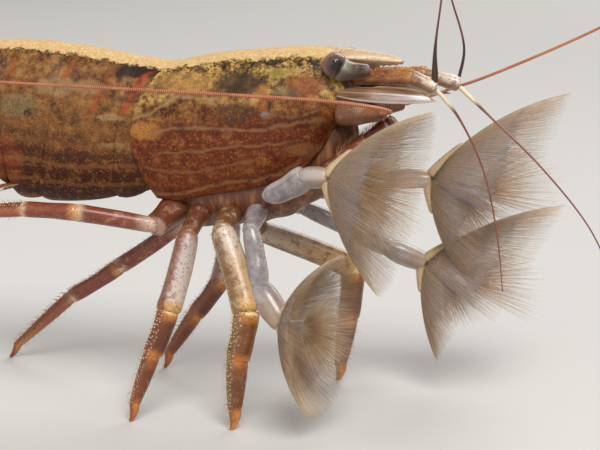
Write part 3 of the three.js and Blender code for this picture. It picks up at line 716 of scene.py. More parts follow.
# %% Plans of the four fans
# axis: where the open fan faces. near, rim: how steeply a blade leaves the axis at its root and
# at its rim, in degrees.
FANS = {
    "arm1_right": dict(joints=[(13.2, -2.6, 27), (14.2, -8, 27.6), (18.4, -9.1, 30), (21.2, -9.6, 30.2)],
                       girths=(1, 1.25, 1.2), axis=(0.94, -0.16, -0.25), near=66, rim=28,
                       upper=15.5, lower=15.5, squeeze=0.62),
    "arm2_right": dict(joints=[(11, -2.6, 24.8), (11.5, -7.4, 23.2), (12.9, -9.2, 17), (16.2, -10.8, 13.2)],
                       girths=(0.95, 1.05, 1.35), axis=(0.92, -0.34, -0.14), near=76, rim=34,
                       upper=12.4, lower=12.4, squeeze=0.7),
    "arm1_left": dict(joints=[(13.4, 2.6, 27), (15.6, 6.6, 26), (25.2, 8, 27.6), (29.8, 8.4, 27.8)],
                      girths=(1, 1.15, 1.1), axis=(0.92, 0.12, -0.3), near=70, rim=30,
                      upper=21, lower=15, squeeze=0.6),
    "arm2_left": dict(joints=[(11.6, 2.6, 25), (14, 6.6, 23.8), (24.4, 9.6, 18.6), (28.8, 10.6, 16.8)],
                      girths=(0.95, 1.05, 1.25), axis=(0.86, 0.12, -0.48), near=68, rim=36,
                      upper=19.6, lower=13.4, squeeze=0.6),
}
FINGER_SHARE = 0.3
FAN_WRAP = math.radians(92)  # how far a blade wraps round the axis each way


def fan_axes(plan):
    """The hub of a fan, and its directions forwards, upwards and sideways."""
    axis = unit(np.array(plan["axis"], float))
    rise = unit(np.array(UP) - axis * axis[2])
    return np.array(plan["joints"][3], float), axis, rise, np.cross(axis, rise)


def fan_surface(plan, way):
    """Half of an open fan, above (way 1) or below (way -1) its axis."""
    hub, axis, rise, side = fan_axes(plan)
    length = plan["upper"] if way > 0 else plan["lower"]
    steep, shallow = math.radians(plan["near"]), math.radians(plan["rim"])
    bend = shallow - steep
    squeeze = way * plan["squeeze"] * (1 if way > 0 else 0.96)  # the lower blade tucks inside the upper

    def surface(u, v):
        angle = steep + bend * v
        ahead = length * (np.sin(angle) - math.sin(steep)) / bend
        away = length * (math.cos(steep) - np.cos(angle)) / bend
        turn = FAN_WRAP * u
        return (hub + axis * ahead[..., None] + rise * (way * away * np.cos(turn))[..., None]
                + side * (away * np.sin(turn) * squeeze)[..., None])

    return surface


print("fans planned:", list(FANS))

# %% Arms, hands and fingers
ARM = [(0, 0.7), (0.15, 0.9), (0.5, 1), (0.85, 1.12), (1, 1.0)]
PALM = [(0, 0.62), (0.2, 0.95), (0.55, 1.08), (0.85, 0.95), (1, 0.8)]


def fan_arm(name, plan):
    root, elbow, wrist, hub = [np.array(joint, float) for joint in plan["joints"]]
    girths = plan["girths"]
    skins = [
        length_skin(*stretch(root, elbow, 0.5, 0.35), girths[0], HIP),
        length_skin(*stretch(elbow, wrist, 0.5, 0.4), girths[1], ARM, bow=0.2),
        length_skin(*stretch(wrist, hub, 0.5, 0.5), girths[2], PALM),
    ]
    pieces = [limb_sleeve(f"{name}_{k}", skin, k) for k, skin in enumerate(skins)]
    for way in (1, -1):
        surface = fan_surface(plan, way)
        share = crowded(24, 0.06, 0.1)
        path = surface(0 * share, 0.02 + (FINGER_SHARE - 0.02) * share)
        size = (1.0 - 0.6 * share**1.2) * rounded(share, 0.06, 0.14)
        finger = sleeve(f"{name}_finger", path, size, size * 0.75, 18, FORWARD)
        spread_lie(finger, 3, 3.99)
        pieces.append(finger)
    edge = wart_rows(f"{name}_edge", skins[1], 6, (0.3,), 0.08, 0.08)
    return join(f"{name}_hand", [*pieces, edge])


arms = {name: fan_arm(name, plan) for name, plan in FANS.items()}
print("fan arms:", sum(len(arm.data.polygons) for arm in arms.values()), "faces")

# %% [markdown]
# Near the finger the bristles lie so close that they read as a milky sheet, which frays into single
# hairs further out. So each half fan has a thin frayed web, fine bristles that lie on it and run on
# to the rim, and a brush of straight ones that spread forward from between the finger tips.

# %% Bristles and webs of the fans
BRISTLES, BRUSH, PATH_STEPS = 900, 300, 8  # the animal has more, too fine to show one by one
BRISTLE_GIRTH, WEB_THICK = 0.026, 0.03
WEB_REACH, WEB_TEETH = 0.78, 94
BRUSH_START, BRUSH_HOLLOW, BRUSH_REACH, BRUSH_LEAN = 0.24, 0.13, 0.5, math.radians(66)
GOLDEN_SHARE = 0.618034


def sheet_paths(plan, way):
    """Paths on the fan's sheet from its finger to its rim."""
    surface, count = fan_surface(plan, way), BRISTLES
    aim = np.clip(np.linspace(-1, 1, count) + dice.normal(0, 0.3 / count, count), -1, 1)
    root = 0.03 + (FINGER_SHARE - 0.03) * (1 - np.abs(aim)) ** 0.7 * dice.uniform(0.8, 1, count)
    tip = dice.uniform(0.95, 1.0, count) * (1 - 0.05 * np.abs(aim))
    t = np.linspace(0, 1, PATH_STEPS)[None]
    fanned = 0.92 * np.abs(aim)[:, None] ** 1.5
    u = aim[:, None] * (fanned + (1 - fanned) * (1 - (1 - t) ** 2.4)) + dice.normal(0, 0.004, (count, 1)) * t
    v = root[:, None] + (tip - root)[:, None] * t
    return surface(u, v), np.stack([0.5 + 0.45 * aim, 0.05 + 0.85 * root / FINGER_SHARE], axis=1)


def brush_paths(plan, way):
    """Nearly straight paths that spread forward from between the finger tips, evenly all round."""
    hub, axis, rise, side = fan_axes(plan)
    length = plan["upper"] if way > 0 else plan["lower"]
    order = np.arange(BRUSH)
    lean = BRUSH_LEAN * np.sqrt((order + 0.5) / BRUSH) + dice.normal(0, 0.012, BRUSH)
    turn = 3.0 * ((order * GOLDEN_SHARE) % 1 - 0.5)
    ahead, away = np.cos(lean)[:, None], np.sin(lean)[:, None]
    slant = rise * way * np.cos(turn)[:, None] + side * plan["squeeze"] * np.sin(turn)[:, None]
    out = axis * ahead + slant * away
    hollow = BRUSH_HOLLOW * length * dice.uniform(0.7, 1.3, BRUSH)
    start = hub + axis * (BRUSH_START * length) + out * hollow[:, None]
    reach = length * BRUSH_REACH * (1 - 0.25 * lean / BRUSH_LEAN) * dice.uniform(0.8, 1, BRUSH)
    t = np.linspace(0, 1, PATH_STEPS)[None, :, None]
    points = start[:, None] + (out[:, None] * t + axis * (0.12 * away[:, None] * t**2)) * reach[:, None, None]
    return points, np.stack([0.5 + 0.3 * turn, 0.92 + 0.05 * lean / BRUSH_LEAN], axis=1)


print("bristles in half a fan:", BRISTLES + BRUSH)

# %% Webs, and the eight half fans
def web_surface(plan, way):
    """The inner part of a fan's sheet, with a frayed outer edge."""
    surface = fan_surface(plan, way)
    ragged = dice.uniform(0.9, 1.0, 2 * WEB_TEETH + 2)

    def frayed(u, v):
        tooth = (np.clip(u, -1, 1) + 1) * WEB_TEETH
        notch = 0.9 + 0.1 * np.abs(2 * (tooth % 1) - 1)
        end = WEB_REACH * notch * ragged[tooth.astype(int)]
        return surface(u, 0.04 + v * (end - 0.04))

    return frayed


fans = {}
for name, plan in FANS.items():
    for half, way in (("upper", 1), ("lower", -1)):
        paths, patch = [np.concatenate(pair) for pair in zip(sheet_paths(plan, way), brush_paths(plan, way))]
        crest_glint = np.exp(-(((patch[:, 0] - 0.5) / 0.08) ** 2))  # painted highlight: bristles along the top of the sheet are tinted gold and white, as if they caught the light
        # Each bristle's tone is random; the highest tones come out gold or white, a painted glint on a few
        # bristles.
        tone = dice.uniform(0, 0.85, len(patch)) + 0.45 * crest_glint
        bristles = hairs(f"{name}_{half}_bristles", paths, BRISTLE_GIRTH, patch, tone)
        web = blade(f"{name}_{half}_web", web_surface(plan, way), 8 * WEB_TEETH, 12, WEB_THICK)
        fans[name, half] = bristles, web
print("fans:", sum(len(p.data.polygons) for pair in fans.values() for p in pair), "faces")

# %% [markdown]
# Under the head two mouth feet reach forward. Each is a three-jointed leg with a brush of hairs.

# %% Mouth feet
MOUTH_ROWS = [(18.6, 3, 29.4, 0.9), (21.6, 3.2, 31.4, 0.95), (24.4, 2.8, 33.6, 0.8), (26.6, 2.2, 35.4, 0.5)]
mouth_feet = {}
for side, sign in SIDES.items():
    joints = [np.array([x, sign * y, z]) for x, y, z, _ in MOUTH_ROWS]
    skins = [length_skin(*stretch(joints[k], joints[k + 1], 0.3, 0.3), MOUTH_ROWS[k][3], THIGH)
             for k in range(3)]
    sleeves = [limb_sleeve(f"mouth_{side}_{k}", skin, k) for k, skin in enumerate(skins)]
    brush = [hair_rows(skin, 9, turn, 0.9, 0.8, 0.5) for skin in skins[1:] for turn in (0.4, math.pi)]
    tuft = hairs(f"mouth_foot_{side}_hairs", np.concatenate([p for p, _ in brush]), HAIR_GIRTH,
                 np.concatenate([q for _, q in brush]))
    mouth_feet[side] = join(f"mouth_foot_{side}_limb", sleeves), tuft
print("mouth feet:", len(mouth_feet))

# %% [markdown]
# A shrimp's eye is a clear dome over a dark ball, on a short stalk that cups it from behind. The
# dome and the ball both start as a sphere: the dome's back is pressed in, and the ball is set deep.

# %% Eyes and their stalks
def globe(name, centre, radius, shape):
    """A sphere shaped by a function of its own directions."""
    bpy.ops.object.select_all(action="DESELECT")
    bpy.ops.mesh.primitive_uv_sphere_add(segments=48, ring_count=32, radius=1)
    piece = bpy.context.object
    piece.name = piece.data.name = name
    flat = np.empty(len(piece.data.vertices) * 3)
    piece.data.vertices.foreach_get("co", flat)
    ways = flat.reshape(-1, 3)
    points = centre + ways * (radius * shape(ways))[:, None]
    piece.data.vertices.foreach_set("co", ((points + OFFSET) * MM).ravel())
    set_lie(piece, ways)
    bpy.ops.object.shade_smooth()
    return piece


BALL_SHARE, DOME_PRESS = 0.8, 0.07
EYE_STALK = np.array([(24.8, 2.5, 42.15), (23.6, 2.95, 42.0), (22.4, 3.45, 41.95), (21.35, 4.0, 42.2),
                      (21.0, 4.2, 42.45)])
STALK_SIZES = [[0.5], [0.75], [1.0], [1.35], [1.54]]
eyes = {}
for side, sign in SIDES.items():
    centre = EYE * (1, sign, 1)
    dome = globe(f"eye_dome_{side}", centre, EYE_RADIUS,
                 lambda w, s=sign: 1 - DOME_PRESS * smoothstep(-s * w[:, 1], 0.3, 1))
    ball = globe(f"eye_ball_{side}", centre, EYE_RADIUS * BALL_SHARE, lambda w: np.ones(len(w)))
    path, _ = spaced(EYE_STALK * (1, sign, 1), 30)
    share = np.linspace(0, 1, 30)
    size = through(STALK_SIZES, share)[:, 0] * rounded(share, 0.12, 0.2)
    cup = sleeve(f"eye_cup_{side}", path, size, size, 32, UP)
    eyes[side] = dome, ball, cup
print("eyes:", len(eyes))

# %% [markdown]
# The feelers are rows of hundreds of short rings. A short feeler has a base of three stout joints
# and splits into two whips; a long one leaves a broad base that also carries a flat scale, which the
# shrimp uses as a rudder. The rings are cut into the whips as grooves.

# %% Feelers
RING_LENGTH, BULB_LENGTH = 0.26, 3.4
BASE = [(0, 0.85), (0.12, 0.95), (0.5, 0.92), (0.88, 1.02), (1, 0.9)]
SHORT_FEELERS = {
    "right": {
        "base": [(22.6, -1.25, 41, 0.8), (26.4, -1.5, 41.1, 0.85), (29.6, -1.7, 41.15, 0.8),
                 (32.2, -1.8, 40.1, 0.7)],
        "upper": [(32.3, -2, 40.6), (32.3, -2.1, 44.6), (33, -2.1, 50.8), (33.8, -2.6, 58), (33.4, -3.2, 66)],
        "lower": [(32.4, -1.6, 39.8), (34.9, -1.4, 36.8), (38, -1.3, 30.6), (39.8, -1.1, 22.8),
                  (40.6, -1, 16)],
    },
    "left": {
        "base": [(22.6, 1.25, 41, 0.8), (26.4, 1.5, 41.1, 0.85), (30.6, 1.7, 41.2, 0.8),
                 (34.4, 1.8, 40.2, 0.7)],
        "upper": [(34.4, 2, 40.6), (35, 2, 44.4), (33.2, 2.1, 50.8), (31.4, 2.7, 58), (28.6, 3.4, 65)],
        "lower": [(34.6, 1.6, 39.9), (38.2, 1.4, 36.6), (44.6, 1.2, 30.6), (50.4, 1.1, 23.6), (53.6, 1, 17)],
    },
}
LONG_FEELERS = {
    "right": [(26.7, -6.1, 37.3), (28.1, -6.9, 37.6), (27, -8, 38.1), (22, -8.2, 38.7), (10, -8.2, 39.2),
              (-7, -8.2, 39.7), (-20, -8.2, 40.1), (-34, -9, 41), (-45, -9.6, 41.4)],
    "left": [(27.3, 5.9, 37.2), (29.4, 7, 37.9), (32.6, 7, 39.1), (37.4, 6.2, 40.9), (51.5, 6.6, 47.4),
             (66, 8, 56), (79, 9, 66), (88, 9.4, 76)],
}
LONG_BASE = [(20.6, 3, 37.5, 1.2, 2), (23.4, 4, 37.5, 1.2, 1.95), (25.6, 4.8, 37.2, 1.05, 1.1),
             (27.3, 5.7, 37.2, 0.62, 0.58)]
print("feelers planned:", len(SHORT_FEELERS) + len(LONG_FEELERS))

# %% Whips, scales and fringes
def whip(name, points, thick, tip, bulb=0.0):
    """A ringed whip, thicker by a bulb at its root; its lie counts the rings."""
    length = spaced(points, 2)[1][-1]
    count = 3 * int(length / RING_LENGTH) + 1
    path, run = spaced(points, count)
    share = run / run[-1]
    size = tip + (thick - tip) * (1 - share) ** 0.6 + bulb * np.exp(-((run / BULB_LENGTH) ** 2))
    size = size * (1 - 0.16 * (np.arange(count) % 3 == 0)) * rounded(share, 0.002, 0.004)
    return sleeve(name, path, size, size, 8)


def scale_surface(sign):
    def surface(u, v):
        wide = 1.75 * np.sqrt(np.clip(np.sin(math.pi * (0.05 + 0.91 * v)), 0, 1)) * u
        return np.stack([21.2 + 12 * v - 0.9 * (1 - sign * u) * v**3, sign * 4.3 + wide,
                         39.4 - 0.35 * v - 0.42 * wide * sign], axis=1)
    return surface


def fringe(name, surface, side, count, reach, low, high):
    """Fine hairs round a blade's free edge, from the middle of its end to one side or both."""
    v = np.concatenate([np.linspace(low, high, count) for _ in side])
    u = np.repeat(np.array(side, float), count)
    roots = surface(u * 0.98, v)
    out = unit(surface(u, v) - surface(u * 0.8, np.clip(v - 0.08, 0, 1)))
    t = np.linspace(0, 1, 4)[None, :, None]
    size = (reach * dice.uniform(0.75, 1.1, len(v)))[:, None, None]
    paths = roots[:, None] + out[:, None] * t * size + dice.normal(0, 0.04, (len(v), 1, 3)) * t
    return hairs(name, paths, FRINGE_GIRTH, np.stack([0.5 + 0.45 * u, 0.05 + 0.9 * v], axis=1))


print("whip rings are", RING_LENGTH, "mm long")

# %% Short and long feelers
short_feelers, long_feelers = {}, {}
for side, plan in SHORT_FEELERS.items():
    joints = [np.array(row[:3], float) for row in plan["base"]]
    parts = []
    for k in range(3):
        skin = length_skin(*stretch(joints[k], joints[k + 1], 0.35, 0.25), plan["base"][k][3], BASE,
                           toward=UP)
        parts.append(limb_sleeve(f"short_base_{side}_{k}", skin, k))
        if k < 2:
            parts.append(wart_rows(f"short_spines_{side}_{k}", skin, 7, (-0.8, -0.2, 0.3, 1.2), 0.07, 0.2))
    whips = {half: whip(f"short_whip_{half}_{side}", plan[half], 0.14, 0.06, bulb)
             for half, bulb in (("upper", 0.29 if side == "right" else 0.08), ("lower", 0.16))}
    short_feelers[side] = join(f"short_base_{side}", parts), whips
for side, sign in SIDES.items():
    rows = np.array(LONG_BASE)
    share = crowded(30, 0.08, 0.06)
    at = through(rows, share)
    fill = rounded(share, 0.08, 0.06)
    base = sleeve(f"long_base_{side}", at[:, :3] * (1, sign, 1), at[:, 3] * fill, at[:, 4] * fill, 32, UP)
    scale = blade(f"scale_{side}", scale_surface(sign), 40, 44, 0.34, 0.1)
    comb = fringe(f"scale_fringe_{side}", scale_surface(sign), (-sign,), 120, 1.1, 0.3, 1.0)
    feeler = whip(f"long_whip_{side}", LONG_FEELERS[side], 0.25 if side == "right" else 0.2, 0.08)
    long_feelers[side] = base, scale, comb, feeler
print("feelers:", len(short_feelers) + len(long_feelers))

# %% [markdown]
# Under the belly five pairs of swimming legs trail backwards, each two leaves with a fringe.

# %% Swimming legs
SWIMMER_LENGTH, SWIMMER_LIFT, SWIMMER_DROP = 6.4, 4.8, 2.3


def swimmer_surface(number, sign, inner):
    at = np.array([(number - 0.7) / 6])
    spine, along = on_back(at)
    spine, along = spine[0], along[0]
    down = np.array([along[2], 0, -along[0]])
    down = down if down[2] < 0 else -down
    depth = through(np.array(RING_DEPTH)[:, None], at)[0, 0]
    half = RING_HALF_WIDTH[number] * (0.3 if inner else 0.62)
    root = spine + down * (depth - SWIMMER_LIFT) + np.array([0, sign * half, 0])
    length = SWIMMER_LENGTH * (0.8 if inner else 1) * (0.8 if number == 5 else 1)

    def surface(u, v):
        wide = 0.95 * np.sqrt(np.clip(np.sin(math.pi * (0.12 + 0.82 * v)), 0, 1)) * u
        return (root + along * (length * v)[:, None] + down * (SWIMMER_DROP * v**0.8 + 0.25 * u * u)[:, None]
                + np.array([0, 1.0, 0]) * (wide + sign * 0.5 * v)[:, None])

    return surface


swimmers = []
for number in range(1, 6):
    leaves, combs = [], []
    for side, sign in SIDES.items():
        for inner in (False, True):
            surface = swimmer_surface(number, sign, inner)
            leaves.append(blade(f"swimmer_{number}_{side}_{inner}", surface, 24, 20, 0.3, 0.08))
            combs.append(fringe(f"swimmer_comb_{number}_{side}_{inner}", surface, (-1, 1), 26, 0.9, 0.3, 1.0))
    swimmers.append((join(f"swimming_leaves_{number}", leaves), join(f"swimming_fringe_{number}", combs)))
print("swimming legs:", len(swimmers), "pairs")

# %% [markdown]
# Finishes. A node material is a small network: measures come in on the left, masks pick out each
# marking, and every marking is laid over the one before. One helper adds a node with its settings
# and its links. Colours are written as sRGB hex values, as a painter would note them.

# %% Colours and nodes
def linear(hex_colour):
    """An sRGB hex colour as the linear values that a shader works in."""
    parts = [int(hex_colour[k:k + 2], 16) / 255 for k in (1, 3, 5)]
    return (*[p / 12.92 if p <= 0.04045 else ((p + 0.055) / 1.055) ** 2.4 for p in parts], 1)


def add(tree, kind, inputs=(), out=None, ramp=None, curve=None, **settings):
    """Add one node with its settings; each input is a value, a hex colour or another output."""
    node = tree.nodes.new("ShaderNode" + kind)
    for name, value in settings.items():
        setattr(node, name, value)
    sockets = [socket for socket in node.inputs if socket.enabled]
    for key, value in inputs.items() if isinstance(inputs, dict) else enumerate(inputs):
        socket = sockets[key] if isinstance(key, int) else node.inputs[key]
        if isinstance(value, bpy.types.NodeSocket):
            tree.links.new(value, socket)
        else:
            socket.default_value = linear(value) if isinstance(value, str) else value
    if ramp:
        stops = node.color_ramp.elements
        while len(stops) < len(ramp):
            stops.new(0.5)
        for stop, (place, colour) in zip(stops, ramp):
            stop.position, stop.color = place, linear(colour)
    if curve:
        points = node.mapping.curves[0].points
        while len(points) < len(curve):
            points.new(0.5, 0.5)
        for point, place in zip(points, curve):
            point.location = place
        node.mapping.update()
    if out:
        return node.outputs[out]
    return next(socket for socket in node.outputs if socket.enabled)


print("a middle grey, #808080, is", round(linear("#808080")[0], 3), "in linear light")

# %% Begin and end a material
def begin(name):
    """A new material, its tree, the place in the shrimp's own millimetres, and the piece's lie."""
    material = bpy.data.materials.new(name)
    material.use_nodes = True
    tree = material.node_tree
    tree.nodes.clear()
    place = add(tree, "Mapping", {"Vector": add(tree, "TexCoord", out="Object"),
                                  "Location": tuple(-OFFSET), "Scale": (1 / MM,) * 3})
    lie = add(tree, "Attribute", attribute_name="lie", out="Vector")
    return material, tree, place, [add(tree, "SeparateXYZ", (lie,), out=axis) for axis in "XYZ"]


def end(material, tree, colour, roughness, height=None, depth=0.02, **surface):
    """Close a material: its colour, its roughness, a bump in millimetres and fixed values."""
    inputs = {"Base Color": colour, "Roughness": roughness, **surface}
    if height is not None:
        inputs["Normal"] = add(tree, "Bump", {"Height": height, "Distance": depth * MM, "Strength": 1.0})
    output = tree.nodes.new("ShaderNodeOutputMaterial")
    tree.links.new(add(tree, "BsdfPrincipled", inputs), output.inputs["Surface"])
    return material


# A Map Range with this setting is a soft step: it eases from 0 at the first value to 1 at the second.
SOFT = {"interpolation_type": "SMOOTHSTEP"}


def lay(tree, below, above, strength, *masks):
    """Lay one marking over the colour below it, as strong as all its masks together."""
    for mask in masks:
        strength = add(tree, "Math", (strength, mask), operation="MULTIPLY")
    return add(tree, "Mix", (strength, below, above), data_type="RGBA")


print("marks fade over a soft step:", SOFT)

# %% [markdown]
# Pigment cells below the cuticle draw the markings, so they are soft and follow the plates. Two
# kinds of mark carry most of them: a line that wanders along or down the flank, and a blotch. Both
# are read at a place that is shaken a little by noise, so that no edge is straight. Every pattern is
# read in millimetres, so its scale is a count for each millimetre: 0.3 gives clouds 3 mm wide and
# 3.3 gives dots 0.3 mm apart. Real pigment cells are about a tenth of a millimetre across, too fine
# to show, so the dots are drawn as coarse as they need to be to show.

# %% Lines and blotches
SPAN = {"x": (-42.0, 24.0), "z": (22.0, 46.0)}


def line(tree, x, z, way, points, half_width):
    """1 on a line through (x, z) points and 0 away from it; way is the axis that it runs along."""
    order = 1 if way == "x" else -1
    run, level = (x, z)[::order]
    run_low, run_high = SPAN["x" if way == "x" else "z"]
    level_low, level_high = SPAN["z" if way == "x" else "x"]
    points = sorted(point[::order] for point in points)
    share = add(tree, "MapRange", (run, run_low, run_high, 0, 1))
    curve = [((a - run_low) / (run_high - run_low), (b - level_low) / (level_high - level_low))
             for a, b in points]
    height = add(tree, "FloatCurve", {"Value": share}, curve=curve)
    height = add(tree, "MapRange", (height, 0, 1, level_low, level_high))
    gap = add(tree, "Math", (add(tree, "Math", (level, height), operation="SUBTRACT"),), operation="ABSOLUTE")
    on = add(tree, "MapRange", (gap, 0, half_width * 1.15, 1, 0), **SOFT)
    first = add(tree, "MapRange", (run, points[0][0] - 0.5, points[0][0] + 0.7), **SOFT)
    last = add(tree, "MapRange", (run, points[-1][0] - 0.7, points[-1][0] + 0.5, 1, 0), **SOFT)
    on = add(tree, "Math", (on, first), operation="MULTIPLY")
    return add(tree, "Math", (on, last), operation="MULTIPLY")


def blotch(tree, place, x, z, half_long, half_high):
    """1 in the middle of a soft oval and 0 outside it."""
    at = add(tree, "VectorMath", (place, (x, 0, z)), operation="SUBTRACT")
    at = add(tree, "VectorMath", (at, (1 / half_long, 0, 1 / half_high)), operation="MULTIPLY")
    away = add(tree, "VectorMath", (at,), operation="LENGTH")
    return add(tree, "MapRange", (away, 0.6, 1.15, 1, 0), **SOFT)


print("lines run within, in mm:", SPAN)

# %% [markdown]
# The cuticle of back shell and abdomen is a little waxy. Down the back runs a cream line. Under it
# the shell is gold and olive with black flecks, then red-brown with fine dots and thin pale lines
# beside darker ones. The abdomen is greyer, with rusty slanting bars and waves low on its flanks.
# Chitin bends light much as a plastic does, but fine pits dull this plate, so its gloss is low.

# %% Markings of the back shell and abdomen
# Ground colours by depth below the ridge; they darken down the flank, partly the animal's own colour and
# partly painted shade.
SHELL_LEVELS = [(0, "#86582c"), (0.2, "#7e4a20"), (0.32, "#6a3412"), (0.5, "#60260b"), (0.8, "#6e310f"),
                (1, "#5c260c")]
SHELL_LINES = [
    ("x", 0.26, 0.6, "#a8845e",
     [(-4.2, 35.7), (-2.7, 36.1), (-0.1, 37.3), (2.4, 38.6), (4.9, 38.5), (7.4, 38.4)]),
    ("x", 0.28, 0.6, "#8f6a4a",
     [(-1.5, 34), (2.35, 34.9), (7.35, 35), (12.5, 35), (14.7, 35.5), (19.6, 36.3)]),
    ("x", 0.22, 0.5, "#8f6a4a", [(12.5, 36.3), (14.7, 36.6), (17.2, 36.7), (19.6, 37.7)]),
    ("x", 0.2, 0.5, "#96683f", [(-0.6, 31.8), (2.3, 32), (6, 32.4), (8.6, 32.8), (12.3, 33.1), (17.2, 33.8)]),
    ("x", 0.24, 0.5, "#96603c",
     [(-2.8, 30), (-0.3, 29.7), (2.3, 29.6), (4.8, 29.8), (7.9, 30.5), (11.7, 31.4)]),
    ("x", 0.3, 0.75, "#a06a44",
     [(-1.6, 26.9), (-0.3, 26.6), (2.2, 26.9), (7.3, 28.3), (12.3, 29), (17.2, 31.6)]),
]
SHELL_BLOTCHES = [
    (2.7, 40.1, 4.6, 1.5, 0.45, "#b98a4c"), (9.6, 40.3, 3.4, 1.5, 0.85, "#352416"),
    (9.6, 37, 2.6, 1.3, 0.75, "#4b3424"), (14.6, 41.6, 2.2, 0.7, 0.5, "#a98f48"),
    (-1.9, 34.4, 2.5, 1.2, 0.6, "#c2843e"), (12.7, 38.7, 0.7, 1.6, 0.6, "#984c26"),
    (12.9, 36.8, 0.5, 0.45, 0.6, "#8f9398"), (17.5, 40.2, 2.8, 1.3, 0.7, "#7c3417"),
    (8.4, 34.6, 0.8, 1, 0.5, "#96683c"), (15.5, 39.4, 1.8, 0.7, 0.5, "#5a5c48"),
    (17, 32.6, 2.4, 0.9, 0.6, "#8f5f3a"),
]
# The abdomen darkens most down its flank: partly its own colour, partly painted shade.
RING_LEVELS = [(0, "#805028"), (0.2, "#683a1a"), (0.36, "#765028"), (0.5, "#6a4420"), (0.66, "#442009"),
               (1, "#331305")]
RING_LINES = [
    ("z", 0.7, 0.85, "#a2451a", [(-2, 41.3), (-3.3, 40.3), (-3.9, 38.7), (-5, 36.8), (-5.4, 36.3)]),
    ("z", 0.7, 0.75, "#964418", [(-7.2, 41.5), (-8, 39.6), (-8.4, 38), (-9.4, 36.1)]),
    ("z", 0.55, 0.6, "#964418", [(-11.6, 43), (-12.7, 41.6), (-13, 40)]),
    ("z", 0.55, 0.6, "#964418", [(-19.3, 42.8), (-20.1, 40.9), (-20.6, 39.4)]),
]
RING_BLOTCHES = [
    (-3.6, 41.3, 4.2, 0.9, 0.95, "#201006"), (-6.6, 35.8, 2, 0.45, 0.6, "#a98c5e"),
    (-9.7, 39.4, 2.4, 0.9, 0.45, "#a3835a"), (-14, 39.4, 3, 1.3, 0.45, "#94805c"),
    (-18.6, 37, 3, 1.6, 0.45, "#736f50"), (-6.3, 32.5, 2, 0.35, 0.5, "#9a7a52"),
    (-17.3, 36.2, 0.6, 0.6, 0.85, "#20140c"), (-11.5, 35, 0.4, 0.35, 0.6, "#20140c"),
    (-21, 30, 3, 4, 0.5, "#8a3a1c"),
]
print("markings:", len(SHELL_LINES + RING_LINES), "lines and", len(SHELL_BLOTCHES + RING_BLOTCHES),
      "blotches")

